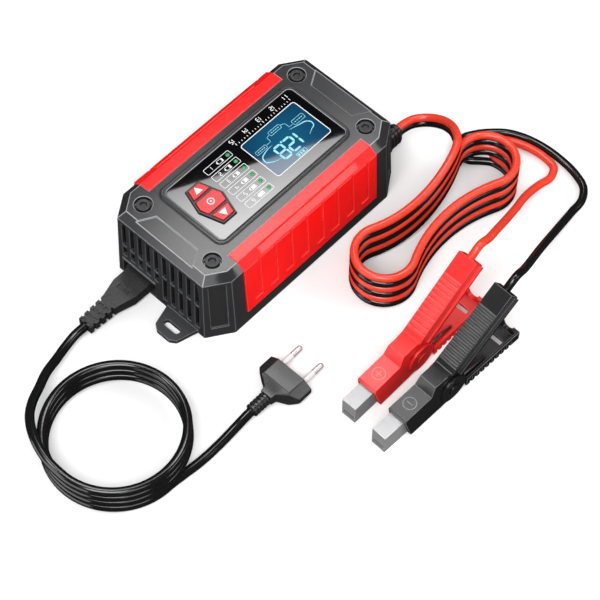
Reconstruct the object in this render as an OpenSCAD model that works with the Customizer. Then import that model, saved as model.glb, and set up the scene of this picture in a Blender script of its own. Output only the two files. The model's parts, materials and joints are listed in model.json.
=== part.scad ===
// Mains car battery charger: a ribbed housing with a display and three keys, a flat mains cord set with a
// figure-8 connector, and two output leads that end in spring clamps.
// Millimetres. X runs from the mains inlet to the output gland and Z is up. The housing stands on z = 0
// with its middle over the origin, and the cords and clamps lie on the same surface.

/* [Housing] */
// Length of the housing at its foot
body_l = 180; // [174:1:190]
// Width of the housing at its foot
body_w = 102; // [99:1:112]
// Height of the joint between the base shell and the top cover
split_h = 57.5; // [56:0.5:64]
// Height of the bevelled top cover
cover_h = 5; // [4.5:0.5:8]
// How far each wall leans in from the foot to the joint
draft = 2.5; // [1.5:0.1:3.5]
// How far the cover's bevel leans in
bevel_in = 5.5; // [4:0.5:7]
// Corner cut along the length
cut_x = 15.5; // [12:0.5:18]
// Corner cut along the width
cut_y = 10.5; // [8:0.5:13]
// Wall of the base shell
wall = 2.5; // [2:0.1:3]
// Floor of the base shell
floor_t = 3; // [2.5:0.1:4]
// Thickness of the cover's top
cover_t = 3.4; // [3.2:0.1:4.2]
// Depth of the pocket that the front panel lies in
pocket_h = 2.2; // [2:0.1:2.4]
// Clearance around plates and blocks in their pockets
fit = 0.2; // [0.1:0.05:0.3]

/* [Vents and ears] */
// Width of a vent slot
vent_w = 3.6; // [2.5:0.1:4.5]
// Distance from one vent slot to the next
vent_pitch = 7.3; // [6.5:0.1:7.5]
// Foot of the lower row of slots
vent_low = 7; // [6:0.5:9]
// Height of a full vent slot
vent_h = 22.5; // [18:0.5:23]
// Bar left between the two rows of slots
vent_bar = 2.5; // [2:0.5:5]
// How far a mounting ear reaches out from the foot
ear_reach = 18; // [16:0.5:20]
// Thickness of a mounting ear
ear_t = 3.5; // [3:0.1:5]
// Distance of an ear from the middle of its end
ear_y = 19.5; // [15:0.5:24]
// Width of the slot in an ear
ear_slot_w = 4.6; // [4:0.1:5.5]
// Length of the slot in an ear
ear_slot_l = 13; // [10:0.5:14]

/* [Grips] */
// Length of a side grip
grip_l = 123; // [110:1:126]
// Distance of a grip's top border from the middle
grip_border = 35.3; // [34:0.1:37]
// Lower edge of a grip
grip_foot = 12; // [10:0.5:16]
// How far a grip stands proud of the wall
grip_proud = 1; // [0.8:0.1:1.4]
// How far a grip is let into the wall
grip_sunk = 1.2; // [1:0.1:1.5]
// Number of grooves on a grip
groove_count = 8; // [4:1:8]
// Distance from one groove to the next
groove_pitch = 14.4; // [12:0.1:14.5]
// Width of a groove
groove_w = 1.6; // [1:0.1:2.4]
// Depth of a groove
groove_depth = 0.9; // [0.5:0.1:1]

/* [Front panel] */
// Length of the front panel
panel_l = 116; // [115:0.5:118]
// Width of the front panel
panel_w = 53; // [52:0.5:56]
// Thickness of the front panel
panel_t = 1.2; // [0.8:0.1:1.6]
// Length of the display window
lcd_l = 49; // [44:0.5:50]
// Width of the display window
lcd_w = 34; // [30:0.5:35]
// Place of the display window along the housing
lcd_x = 28.5; // [27:0.5:29]
// Place of the row of lights along the housing
light_x = -6.2; // [-8:0.1:-4]
// Distance from one light to the next
light_pitch = 7.4; // [6:0.1:8]
// Diameter of a light
light_d = 3; // [2:0.1:4]
// Place of the keys along the housing
keys_x = -40.2; // [-41:0.1:-38]
// Height of the keys above the cover
key_proud = 1; // [0.5:0.1:2]
// Rim of the bezel around the keys
bezel_rim = 1.3; // [1:0.1:1.6]
// Gap around a key
key_gap = 0.3; // [0.2:0.05:0.4]
// Half height of the middle key
key_mid = 6.2; // [5.5:0.1:6.5]
// Bar of the bezel between two keys
key_bar = 1.6; // [1.2:0.1:2]
// How far a key is pressed
key_travel = 0.6; // [0.3:0.1:0.7]

/* [Boards and fan] */
// Thickness of a circuit board
board_t = 1.6; // [1:0.1:2]
// Height of the standoffs under the main board
standoff_h = 5; // [4:0.5:6]
// Length of the main board
board_l = 124; // [118:1:126]
// Width of the main board
board_w = 84; // [80:1:88]
// Underside of the display board, below the joint
display_drop = 8.5; // [8:0.5:9]
// Size of the fan
fan_size = 40; // [36:0.5:41]
// Depth of the fan
fan_t = 10; // [8:0.5:11]
// Number of fan blades
blade_count = 7; // [5:1:9]
// Gap between the fan's blades and its frame
fan_gap = 0.8; // [0.5:0.1:1.5]

/* [Screws] */
// Radius of the case screws
screw_r = 2; // [1.5:0.1:2.2]
// Radius of a case screw's head
screw_head_r = 4.6; // [4:0.1:5]
// Height of a case screw's head
screw_head_h = 4; // [3:0.1:4.2]
// Radius of the counterbore around a head
counterbore_r = 6.2; // [5.6:0.1:6.6]
// Distance of the case screws from the middle, along the length
screw_x = 71; // [70:0.5:73]
// Distance of the case screws from the middle, along the width
screw_y = 30.75; // [30:0.25:31.5]
// Radius of the board screws
small_r = 1; // [0.8:0.05:1.2]
// Clearance of a shaft in its bore, on the radius
bore_fit = 0.05; // [0.02:0.01:0.1]

/* [Mains inlet] */
// Distance of the inlet from the middle of its end
inlet_y = 20.2; // [19:0.1:21]
// Height of the inlet's axis
inlet_z = 6.5; // [6.2:0.1:7]
// Width of the recess around the inlet
recess_w = 30; // [28:0.5:31]
// Top of the recess
recess_top = 14; // [13.5:0.5:15]
// Depth of the recess, from the foot's edge
recess_depth = 5.5; // [4.5:0.5:7]
// Width of the connector's nose
nose_w = 14; // [13.5:0.1:14.5]
// Thickness of the connector's nose
nose_t = 7.4; // [7:0.1:7.6]
// Length of the connector's nose
nose_l = 15.5; // [14:0.5:17]
// Clearance of the nose in the inlet
nose_fit = 0.3; // [0.2:0.05:0.5]
// Radius of an inlet pin
pin_r = 1.2; // [1.1:0.05:1.3]
// Distance between the inlet pins
pin_pitch = 8.6; // [8.4:0.1:8.8]
// Length of an inlet pin in the connector
pin_l = 9; // [8:0.5:10]
// Width of the connector
connector_w = 20; // [18:0.5:22]
// Thickness of the connector
connector_t = 9; // [8.5:0.1:9.6]
// Length of the connector's body
connector_l = 31; // [28:0.5:34]
// Length of the connector's strain relief
relief_l = 23; // [20:0.5:26]

/* [Mains plug] */
// Width of the plug
plug_w = 35.3; // [33:0.1:37]
// Thickness of the plug
plug_t = 13.7; // [13:0.1:15]
// Width of the plug's top flat
plug_flat = 22; // [18:0.5:26]
// Length of the plug's body
plug_l = 23.5; // [22:0.5:26]
// Length of the plug's strain relief
plug_relief_l = 13.3; // [12:0.1:16]
// Radius of a plug pin
plug_pin_r = 2; // [1.9:0.05:2.4]
// Distance between the plug pins
plug_pin_pitch = 18.6; // [18:0.1:19]
// Length of a plug pin
plug_pin_l = 19; // [18:0.5:20]
// Length of the sleeve on a plug pin
sleeve_l = 10; // [8:0.5:12]
// Wall of the sleeve on a plug pin
sleeve_t = 0.4; // [0.3:0.05:0.6]

/* [Cords] */
// Diameter of the mains cord
mains_d = 6.2; // [5.6:0.1:6.2]
// Radius of the mains cord's coil
coil_r = 45.3; // [45:0.1:46]
// Climb of the mains cord's coil in one turn
coil_pitch = 6.7; // [6.7:0.1:7.2]
// Diameter of an output lead
lead_d = 5.5; // [5:0.1:5.5]
// Distance from one lead to the lead on it
lead_pitch = 6; // [6:0.1:6.2]
// Half the distance between the middles of the hank's round ends
hank_reach = 50; // [48:0.5:52]
// Radius of the hank's round ends
hank_end_r = 20; // [19:0.5:21]
// Half width of the hank's waist
hank_waist = 9; // [8:0.5:11]

/* [Clamps] */
// Length of the clamp's nose, from the pivot
clamp_nose = 43; // [40:0.5:46]
// Length of the jaws beyond the nose
jaw_reach = 16; // [12:0.5:20]
// Width of the jaws
jaw_w = 11; // [10:0.1:11.2]
// Thickness of the jaws' sheet metal
jaw_t = 1.2; // [0.8:0.1:1.5]
// Top of the upper jaw
jaw_top = 17; // [16:0.5:17.5]
// Height of the line where the jaws meet
bite_h = 4; // [3.5:0.1:5]
// Distance from one tooth to the next
tooth_pitch = 3; // [2.5:0.1:4]
// Height of the pivot
pivot_h = 11.5; // [11:0.1:12]
// Width of a clamp at its foot
clamp_w = 18.4; // [18.2:0.1:20]
// Width of a clamp across its top
clamp_top_w = 14.6; // [14:0.1:16]
// Wall of the clamp's cheeks
cheek_t = 1.75; // [1.6:0.05:2]
// Gap between the upper and the lower cheeks
cheek_gap = 0.3; // [0.25:0.05:0.4]
// Angle of the raised handle
handle_angle = 35.5; // [33:0.5:38]
// Length of the raised handle
handle_l = 63; // [58:1:68]
// Depth of the raised handle
handle_t = 11; // [10:0.5:12]
// Radius of the rivet
rivet_r = 2.5; // [2:0.1:2.8]
// Radius of the rivet's head
rivet_head_r = 4.3; // [4:0.1:5]
// Length of the lower handle, from the pivot
lower_l = 62; // [58:1:66]
// Height of the lower handle's walls
lower_wall_h = 8; // [6:0.5:9]

/* [Hidden] */
$fn = 48;

shell_black = "#26282b";
cover_grey = "#3d4043";
grip_red = "#d8141c";
gloss_black = "#101214";
board_green = "#1f5a3a";
metal = "#c4c7ca";
lead_red = "#e8401f";
lead_black = "#18191a";
copper = "#b8692f";

// Housing
eps = 0.01;
over = 1;
top_h = split_h + cover_h;
shoulder_x = body_l / 2 - draft;
shoulder_y = body_w / 2 - draft;
draft_angle = atan(draft / split_h);
chamfer_angle = atan2(cut_x, cut_y);
pocket_floor = top_h - pocket_h;
cover_under = top_h - cover_t;
top_y = shoulder_y - bevel_in;

// Boards
display_z = split_h - display_drop;
display_top = display_z + board_t;
main_z = floor_t + standoff_h;
main_top = main_z + board_t;
boss_r = 3;
board_hole_x = board_l / 2 - 5;
board_hole_y = board_w / 2 - 5;
display_hole_x = panel_l / 2 - 5;
display_hole_y = panel_w / 2 - 4;
panel_x = 2;
panel_y = 1;
small_head_r = 2.4;
small_head_h = 1.4;
small_bite = 4;

// Keys
key_half_l = 17.3;
key_half_w = 5.8;
key_tip = 11.2;
key_stem_r = 2;
key_flange_r = 3;
key_flange_t = 1;
key_cap_foot = 0.9;
key_top = top_h + key_proud;
key_side = key_mid + key_bar + 2 * key_gap + 4.1;
key_rows = [key_side, 0, -key_side];
switch_h = 3.5;
plunger_h = 0.8;
switch_top = display_top + switch_h + plunger_h;

// Posts for the case screws
post_r = 5;
screw_l = 16;
post_top = split_h - 3.5;
post_foot = post_top - screw_l - 2;
boss_wide_r = 7.4;
counterbore_floor = top_h - screw_head_h - fit;

// Inlet and connector
recess_low = inlet_z - nose_t / 2 - nose_fit - 1.3;
recess_x = body_l / 2 - recess_depth;
socket_back = 2.5;
socket_l = nose_l + 0.5 + socket_back;
socket_h = recess_top - fit - recess_low;
connector_x = recess_x + 0.3;
relief_x = connector_x + connector_l;
cord_x = relief_x + relief_l;
relief_w = 13;

// Fan
fan_clear = 1.8;
fan_x = body_l / 2 - draft - wall - fan_clear - fan_t;
fan_foot = 4;
fan_z = floor_t + fan_foot + fan_size / 2;
fan_bore_r = fan_size / 2 - 0.9;
fan_hub_r = 10;
fan_spider_t = 2;
fan_shaft_r = 1.5;

// Output gland
gland_inset = 20;
gland_y = gland_inset - body_w / 2;
gland_z = 24;
gland_r = 4.8;
gland_reach = 13.5;
gland_depth = 7;
gland_tip = body_l / 2 + gland_reach;
gland_in = body_l / 2 - gland_depth;
gland_socket = 3;
terminal_x = 56;
terminal_y = -18;
terminal_l = 10;
terminal_w = 14;
terminal_h = 12;

// Plug
plug_y = -101;
plug_z = plug_t / 2;
plug_face = -73.5;
plug_back = plug_face - plug_l;
plug_cord_x = plug_back - plug_relief_l;

// Coil of the mains cord, counted from where the cord enters it at the top
coil_mid = [-182, -53.5];
coil_turns = 3.25;
coil_enter = 180;
coil_foot = mains_d / 2;
coil_top = coil_foot + coil_turns * coil_pitch;

// Hank of the output leads: two round ends joined by a drawn-in waist, as arcs that meet smoothly
hank_mid = [72.5, -93];
hank_levels = 3;
twin_pitch = 2 * lead_pitch;
waist_r = (hank_reach * hank_reach + hank_waist * hank_waist - hank_end_r * hank_end_r)
  / (2 * (hank_end_r - hank_waist));
waist_mid = hank_waist + waist_r;
end_half = atan2(waist_mid, -hank_reach);
waist_half = asin(hank_reach / (hank_end_r + waist_r));
waist_l = 2 * waist_half * PI / 180 * waist_r;
end_l = 2 * end_half * PI / 180 * hank_end_r;
hank_loop = 2 * (waist_l + end_l);
hank_from = 9;
hank_to = 2 * hank_loop + 2 * waist_l + 1.5 * end_l;
hank_rings = 72;
black_base = lead_d / 2;
red_base = black_base + lead_pitch;

// Routes that were chosen by hand, where a cord lies free
mains_start_route = [
  [-cord_x, inlet_y, inlet_z], [-147, 20.2, 6.3], [-158, 18, 7], [-169, 14.5, 9], [-181, 10.5, 12],
  [-193, 4, 15.5], [-203, -1.5, 18.5], [-211.5, -8.5, 21.5], [-218.5, -18, 23.5],
  [-223.5, -29, 24.5], [-226.7, -41.5, coil_top], [coil_mid.x - coil_r, coil_mid.y, coil_top]
];
mains_end_route = [
  [coil_mid.x, coil_mid.y - coil_r, coil_foot], [-170, -99.8, 3.1], [-157, -101.2, 3.1], [-140, -101.4, 3.2],
  [-125, -101, 4.5], [-117, -101, 6.1], [plug_cord_x, plug_y, plug_z]
];
lead_start_route = [
  [gland_tip - gland_socket, gland_y, 0], [110, gland_y, 0], [117, -32.5, -0.5], [124.5, -38.5, 0],
  [127.5, -48, 4], [124.5, -61, 11.3], [120.3, -67.3, 15.3], [116.5, -72, 17.4]
];
red_end_route = [
  [143, -85, 8], [146.5, -78, 6.2], [153, -74.5, 3.6], [160, -77.5, 2.75], [164.8, -85.5, 2.75],
  [168, -96.5, 2.75], [168.8, -109, 2.75], [166.3, -118.5, 2.75], [159, -122, 3],
  [148, -121.2, 5], [132.5, -122.7, 11.5], [111, -129, 24], [89, -136, 39.5], [74, -140.8, 51],
  [62, -144.3, 59]
];
black_end_route = [
  [140.9, -84.3, 2.75], [136.8, -78.6, 2.75], [131.5, -71.5, 2.75], [131, -64.5, 2.75],
  [135.5, -58.5, 2.75], [143, -57.3, 2.75], [151.5, -61.5, 2.75], [160.5, -69, 2.75],
  [167, -76.5, 2.75], [171.5, -86, 2.75], [174.6, -99.5, 2.75], [175, -117, 2.75],
  [172.5, -132.5, 2.75], [167.5, -143.5, 2.75], [159, -149, 2.75], [147, -150.3, 3],
  [129, -153, 6.5], [105, -158.5, 18], [84, -165.5, 34], [71, -170.5, 46], [60.5, -174.5, 56.5]
];
lead_exit_l = 9;

// Clamps
red_clamp = [-10, -146, 0];
black_clamp = [-12.6, -175.5, 0];
red_turn = 0;
black_turn = -2;
nose_h = jaw_top + 3.5;
plate_back = -19.5;
saddle_h = nose_h + 7.5;
cheek_r = 11;
lower_cheek_r = 9;
jaw_back = -12;
hollow_r = 13;
upper_in = clamp_w / 2 - cheek_t;
lower_out = upper_in - cheek_gap;
lower_in = lower_out - 1.6;
handle_from = [-2, saddle_h];
handle_roof = 3;
handle_cap = 4;
flange_t = 3.5;
lead_depth = 5.5;
spring_in = 3.2;
spring_out = 5;
wire_r = 0.9;
lower_floor = jaw_t;
lower_floor_t = 2;
jaw_fit = 0.3;
handle_end = [
  handle_from.x + handle_l * cos(handle_angle) + lead_depth * sin(handle_angle),
  handle_from.y + handle_l * sin(handle_angle) - lead_depth * cos(handle_angle)
];

// A convex outline with each edge moved in by a distance
function inset(points, distance) = [
  for (i = [0:len(points) - 1])
    let (
      here = points[i],
      back = here - points[(i + len(points) - 1) % len(points)],
      ahead = points[(i + 1) % len(points)] - here,
      n0 = [-back.y, back.x] / norm(back),
      n1 = [-ahead.y, ahead.x] / norm(ahead)
    )
    here + distance * (n0 + n1) / (1 + n0 * n1)
];

// The housing's outline at its shoulder
shoulder = [
  [shoulder_x, shoulder_y - cut_y], [shoulder_x - cut_x, shoulder_y],
  [cut_x - shoulder_x, shoulder_y], [-shoulder_x, shoulder_y - cut_y],
  [-shoulder_x, cut_y - shoulder_y], [cut_x - shoulder_x, -shoulder_y],
  [shoulder_x - cut_x, -shoulder_y], [shoulder_x, cut_y - shoulder_y]
];

// How far the wall stands out from the shoulder at a height
function lean(z) = draft * (1 - z / split_h);
// How far the cover's bevel stands in from the shoulder at a height
function bevel(z) = bevel_in * (z - split_h) / cover_h;

// The outline of the keys' bezel
bezel = [
  [keys_x + key_half_w, panel_y + key_half_l - 0.2], [keys_x - key_half_w, panel_y + key_half_l - 0.2],
  [keys_x - key_tip, panel_y - 0.2], [keys_x - key_half_w, panel_y - key_half_l - 0.2],
  [keys_x + key_half_w, panel_y - key_half_l - 0.2], [keys_x + key_tip, panel_y - 0.2]
];

// A block between two heights whose outline is the shoulder's, moved in by one distance at each height
module tapered_block(in0, z0, in1, z1) {
  low = inset(shoulder, in0);
  high = inset(shoulder, in1);
  n = len(shoulder);
  polyhedron(
    points = concat([for (p = low) [p.x, p.y, z0]], [for (p = high) [p.x, p.y, z1]]),
    faces = concat(
      [[for (i = [0:n - 1]) i]],
      [[for (i = [0:n - 1]) 2 * n - 1 - i]],
      [for (i = [0:n - 1]) [i, i + n, (i + 1) % n + n, (i + 1) % n]]
    )
  );
}

// Frames on the walls at the shoulder: Z runs up the leaning wall
module on_end(side) {
  translate([side * shoulder_x, 0, split_h])
    rotate([0, -side * draft_angle, 0])
      children();
}
module on_side(side) {
  translate([0, side * shoulder_y, split_h])
    rotate([side * draft_angle, 0, 0])
      children();
}
module on_corner(side_x, side_y) {
  mirror([side_x < 0 ? 1 : 0, 0, 0])
    mirror([0, side_y < 0 ? 1 : 0, 0])
      translate([shoulder_x - cut_x / 2, shoulder_y - cut_y / 2, split_h])
        rotate([0, 0, chamfer_angle])
          rotate([0, -draft_angle, 0])
            children();
}

// A plate with round corners, on z = 0
module round_plate(length, width, radius, height) {
  linear_extrude(height) {
    square([length - 2 * radius, width], center = true);
    square([length, width - 2 * radius], center = true);
    for (x = [-1, 1], y = [-1, 1])
      translate([x * (length / 2 - radius), y * (width / 2 - radius)])
        circle(radius);
  }
}

// A profile drawn in the XZ plane, made solid along Y between two places
module along_y(y0, y1) {
  translate([0, y1, 0])
    rotate([90, 0, 0])
      linear_extrude(y1 - y0)
        children();
}

// A profile drawn in the YZ plane, made solid along X between two places
module along_x(x0, x1) {
  translate([x0, 0, 0])
    rotate([90, 0, 90])
      linear_extrude(x1 - x0)
        children();
}

// A cylinder along Y between two places, about a point in the XZ plane
module rod_y(point, radius, y0, y1) {
  translate([point.x, y1, point.y])
    rotate([90, 0, 0])
      cylinder(r = radius, h = y1 - y0);
}

// A cylinder along X between two places, about a point in the YZ plane
module rod_x(point, radius, x0, x1) {
  translate([x0, point.x, point.y])
    rotate([0, 90, 0])
      cylinder(r = radius, h = x1 - x0);
}

// A block between two corners
module block(low, high) {
  translate(low)
    cube(high - low);
}

// A place repeated at the four case screws
module at_case_screws() {
  for (x = [-1, 1], y = [-1, 1])
    translate([x * screw_x, y * screw_y, 0])
      children();
}

// A place repeated at the four corners of a board
module at_corners(x_reach, y_reach) {
  for (x = [-1, 1], y = [-1, 1])
    translate([x * x_reach, y * y_reach, 0])
      children();
}

// The end wall's slots, between two rows
module vent_slots(side) {
  for (i = [-4.5:1:4.5]) {
    y = i * vent_pitch;
    beside_inlet = side < 0 && y > 0;
    low = beside_inlet ? recess_top + 7 : vent_low;
    used = side < 0 || abs(y) < fan_size / 2;
    if (used) {
      block([-wall - 1, y - vent_w / 2, low - split_h], [wall, y + vent_w / 2, vent_low + vent_h - split_h]);
      block(
        [-wall - 1, y - vent_w / 2, vent_low + vent_h + vent_bar - split_h],
        [wall, y + vent_w / 2, vent_low + 2 * vent_h + vent_bar - split_h]
      );
    }
  }
}

// The outline of the ear at the inlet end
module ear() {
  x_tip = -body_l / 2 - ear_reach;
  difference() {
    linear_extrude(ear_t)
      polygon([
        [2 - body_l / 2, -ear_y + 14.5], [x_tip + 3, -ear_y + 9.8], [x_tip, -ear_y + 5.5],
        [x_tip, -ear_y - 5.5], [x_tip + 3, -ear_y - 9.8], [2 - body_l / 2, -ear_y - 14.5]
      ]);
    translate([x_tip + ear_reach / 2 - 0.6, -ear_y, -over])
      linear_extrude(ear_t + 2 * over) {
        square([ear_slot_w, ear_slot_l - ear_slot_w], center = true);
        for (s = [-1, 1])
          translate([0, s * (ear_slot_l - ear_slot_w) / 2])
            circle(ear_slot_w / 2);
      }
  }
}

// The space that a side grip fills, grown by a clearance on its hidden faces and outwards by a distance
module grip_space(side, clearance, out) {
  foot_y = shoulder_y + lean(grip_foot);
  points = [
    [grip_border - clearance, top_h + 0.4 + out], [top_y + 0.2, top_h + 0.4 + out],
    [shoulder_y + grip_proud + out, split_h + 0.8], [foot_y + grip_proud + out, grip_foot - clearance],
    [foot_y - grip_sunk - clearance, grip_foot - clearance],
    [shoulder_y - grip_sunk - clearance, split_h - 0.4],
    [top_y - grip_sunk / 2 - clearance, top_h - grip_sunk - clearance],
    [grip_border - clearance, top_h - grip_sunk - clearance]
  ];
  along_x(-grip_l / 2 - clearance, grip_l / 2 + clearance)
    polygon([for (p = points) [side * p.x, p.y]]);
}

module base_shell() {
  color(shell_black)
    difference() {
      union() {
        difference() {
          tapered_block(-lean(0), 0, 0, split_h);
          tapered_block(wall - lean(floor_t), floor_t, wall - lean(split_h + over), split_h + over);
        }
        for (turn = [0, 180])
          rotate(turn)
            ear();
        // Posts for the case screws, tied to the end walls by ribs
        at_case_screws()
          translate([0, 0, post_foot])
            cylinder(r = post_r, h = post_top - post_foot);
        for (x = [-1, 1], y = [-1, 1])
          mirror([x < 0 ? 1 : 0, 0, 0])
            block(
              [screw_x + post_r - 1, y * screw_y - 1.5, post_foot],
              [shoulder_x - wall + 0.5, y * screw_y + 1.5, post_top]
            );
        // Standoffs under the main board
        at_corners(board_hole_x, board_hole_y)
          cylinder(r = boss_r, h = main_z);
        // Seat and side guides of the fan
        block([fan_x, -fan_size / 2, floor_t - eps], [fan_x + fan_t, fan_size / 2, floor_t + fan_foot]);
        for (s = [-1, 1])
          scale([1, s, 1])
            block(
              [fan_x, fan_size / 2 + fit, floor_t - eps],
              [fan_x + fan_t, fan_size / 2 + fit + 2, floor_t + 16]
            );
        // Ledge over the inlet's recess
        on_end(-1)
          block(
            [-0.8, inlet_y - recess_w / 2, recess_top + 1.6 - split_h],
            [0.5, inlet_y + recess_w / 2, recess_top + 3.1 - split_h]
          );
      }
      on_end(-1)
        vent_slots(-1);
      on_end(1)
        vent_slots(1);
      // The inlet's recess, and the socket's seat in the floor
      block(
        [-body_l / 2 - over, inlet_y - recess_w / 2, recess_low],
        [fit - recess_x, inlet_y + recess_w / 2, recess_top]
      );
      block(
        [-recess_x - fit, inlet_y - recess_w / 2, recess_low],
        [socket_l + fit - recess_x, inlet_y + recess_w / 2, recess_top]
      );
      // The gland's hole
      gland_outline(gland_r + fit, shoulder_x - wall - 1, body_l / 2 + over);
      // Bores for the case screws and the board screws
      at_case_screws()
        translate([0, 0, post_top - screw_l])
          cylinder(r = screw_r + bore_fit, h = screw_l + over);
      at_corners(board_hole_x, board_hole_y)
        translate([0, 0, main_z - small_bite])
          cylinder(r = small_r + bore_fit, h = small_bite + over);
      for (side = [-1, 1])
        grip_space(side, bore_fit, 3);
      // Sunk fields on the four cut corners
      for (x = [-1, 1], y = [-1, 1])
        on_corner(x, y)
          block([-1.2, -5.8, 9 - split_h], [over, 5.8, -2.5]);
    }
}

module top_cover() {
  color(cover_grey)
    difference() {
      union() {
        difference() {
          tapered_block(0, split_h, bevel_in, top_h);
          tapered_block(wall + bevel(split_h - over), split_h - over, wall + bevel(cover_under), cover_under);
        }
        at_case_screws()
          translate([0, 0, post_top])
            cylinder(r = boss_wide_r, h = cover_under + 0.5 - post_top);
        translate([panel_x, panel_y, 0])
          at_corners(display_hole_x, display_hole_y)
            translate([0, 0, display_top])
              cylinder(r = boss_r, h = cover_under + 0.5 - display_top);
      }
      translate([panel_x, panel_y, pocket_floor])
        round_plate(panel_l, panel_w, 4, pocket_h + over);
      // Display window, holes for the lights and the keys' stems
      translate([lcd_x, panel_y, cover_under - over])
        round_plate(lcd_l, lcd_w, 2, cover_t + 2 * over);
      at_lights()
        translate([0, 0, cover_under - over])
          cylinder(r = light_d / 2 + fit, h = cover_t + 2 * over);
      for (y = key_rows)
        translate([keys_x, panel_y - 0.2 + y, cover_under - over])
          cylinder(r = key_stem_r + key_gap, h = cover_t + 2 * over);
      at_case_screws() {
        translate([0, 0, counterbore_floor])
          cylinder(r = counterbore_r, h = top_h);
        translate([0, 0, post_top - over])
          cylinder(r = screw_r + fit, h = top_h);
      }
      translate([panel_x, panel_y, 0])
        at_corners(display_hole_x, display_hole_y)
          translate([0, 0, display_top - over])
            cylinder(r = small_r + bore_fit, h = small_bite + over);
      // Shallow fields that open onto the end bevels
      for (s = [-1, 1])
        translate([0, 0, top_h - 1])
          linear_extrude(over + 1)
            polygon([[s * 71.5, 18.2], [s * shoulder_x, 27.5], [s * shoulder_x, -27.5], [s * 71.5, -18.2]]);
      for (side = [-1, 1])
        grip_space(side, bore_fit, 3);
    }
}

// One side grip: a leaning face with L-shaped grooves and a raised strip on its bevel
module grip(side) {
  color(grip_red)
    difference() {
      union() {
        grip_space(side, 0, 0);
        along_x(-45, 45)
          polygon([
            [side * (top_y + 1.2), top_h], [side * (top_y + 2), top_h + 0.5],
            [side * (shoulder_y + 0.4), split_h + 2.2], [side * (shoulder_y - 1.5), split_h + 1]
          ]);
      }
      on_side(side)
        for (i = [0:groove_count - 1]) {
          x = (i - (groove_count - 1) / 2) * groove_pitch + 2.4;
          face = grip_proud - groove_depth;
          scale([1, side, 1]) {
            block([x - groove_w / 2, face, -38.5], [x + groove_w / 2, 3, 1.2]);
            block([x - 6, face, -38.5], [x + groove_w / 2, 3, groove_w - 38.5]);
          }
        }
    }
}
module front_grip() {
  grip(-1);
}
module rear_grip() {
  grip(1);
}

module display_panel() {
  color(gloss_black)
    difference() {
      translate([panel_x, panel_y, pocket_floor])
        round_plate(panel_l - 2 * fit, panel_w - 2 * fit, 4 - fit, panel_t);
      translate([0, 0, pocket_floor - over])
        linear_extrude(panel_t + 2 * over)
          polygon(inset(bezel, -fit));
    }
}

// The outline of a key's place in the bezel: a band across the hexagon
module key_outline(row, gap) {
  low = row == 0 ? -key_mid : key_mid + key_bar;
  high = row == 0 ? key_mid : key_half_l;
  intersection() {
    polygon(inset(bezel, bezel_rim + gap));
    translate([keys_x, panel_y - 0.2])
      scale([1, row < 0 ? -1 : 1])
        translate([-20, low + gap])
          square([40, high - low - 2 * gap]);
  }
}

module key_bezel() {
  color(shell_black)
    difference() {
      translate([0, 0, pocket_floor])
        linear_extrude(pocket_h + 0.3)
          polygon(bezel);
      translate([0, 0, pocket_floor - over])
        linear_extrude(pocket_h + 2 * over)
          for (row = [-1, 0, 1])
            key_outline(row, 0);
    }
}

module key(row) {
  color(grip_red) {
    translate([0, 0, pocket_floor + key_cap_foot])
      linear_extrude(key_top - pocket_floor - key_cap_foot)
        key_outline(row, key_gap);
    translate([keys_x, panel_y - 0.2 + row * key_side, 0]) {
      translate([0, 0, switch_top + key_travel + 0.1])
        cylinder(r = key_stem_r, h = key_top - switch_top - key_travel - 0.6);
      translate([0, 0, cover_under - key_flange_t - 0.1])
        cylinder(r = key_flange_r, h = key_flange_t);
    }
  }
}
module up_key() {
  key(1);
}
module enter_key() {
  key(0);
}
module down_key() {
  key(-1);
}

module case_screws() {
  color(metal)
    at_case_screws()
      difference() {
        union() {
          translate([0, 0, counterbore_floor])
            cylinder(r = screw_head_r, h = screw_head_h);
          translate([0, 0, post_top - screw_l + 1])
            cylinder(r = screw_r, h = counterbore_floor - post_top + screw_l - 0.5);
        }
        translate([0, 0, top_h - fit - 1.8])
          cylinder(r = 2.6, h = 3, $fn = 6);
      }
}

// The gland's tall oval outline, along X between two places
module gland_outline(radius, x0, x1) {
  for (z = [-1, 1])
    rod_x([gland_y, gland_z + z * lead_pitch / 2], radius, x0, x1);
  block(
    [x0, gland_y - radius, gland_z - lead_pitch / 2],
    [x1, gland_y + radius, gland_z + lead_pitch / 2]
  );
}

module output_gland() {
  wall_x = shoulder_x + lean(gland_z);
  color(shell_black)
    difference() {
      union() {
        gland_outline(gland_r, gland_in, gland_tip);
        gland_outline(gland_r + 1.6, wall_x + 0.8, wall_x + 3);
        gland_outline(gland_r + 1.6, gland_in, shoulder_x + lean(gland_z) - wall - 1);
        for (x = [wall_x + 5:3.2:gland_tip - 1.5])
          gland_outline(gland_r + 0.8, x, x + 1.6);
      }
      for (z = [-1, 1])
        rod_x(
          [gland_y, gland_z + z * lead_pitch / 2], lead_d / 2 + fit,
          gland_tip - gland_socket, gland_tip + 1
        );
    }
}

// A place repeated at the six status lights
module at_lights() {
  for (i = [-2.5:1:2.5])
    translate([light_x, panel_y - 0.2 + i * light_pitch, 0])
      children();
}

module lcd_module() {
  color("#12395c") {
    translate([lcd_x, panel_y, display_top])
      round_plate(lcd_l + 4, lcd_w + 4, 1, cover_under - display_top - 0.5);
    translate([lcd_x, panel_y, cover_under - 1])
      round_plate(lcd_l - 2 * fit, lcd_w - 2 * fit, 2 - fit, pocket_floor - cover_under + 0.9);
  }
}

module status_lights() {
  color("#2fae4a")
    at_lights()
      translate([0, 0, display_top])
        cylinder(r = light_d / 2, h = pocket_floor - display_top - 0.1);
}

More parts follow.
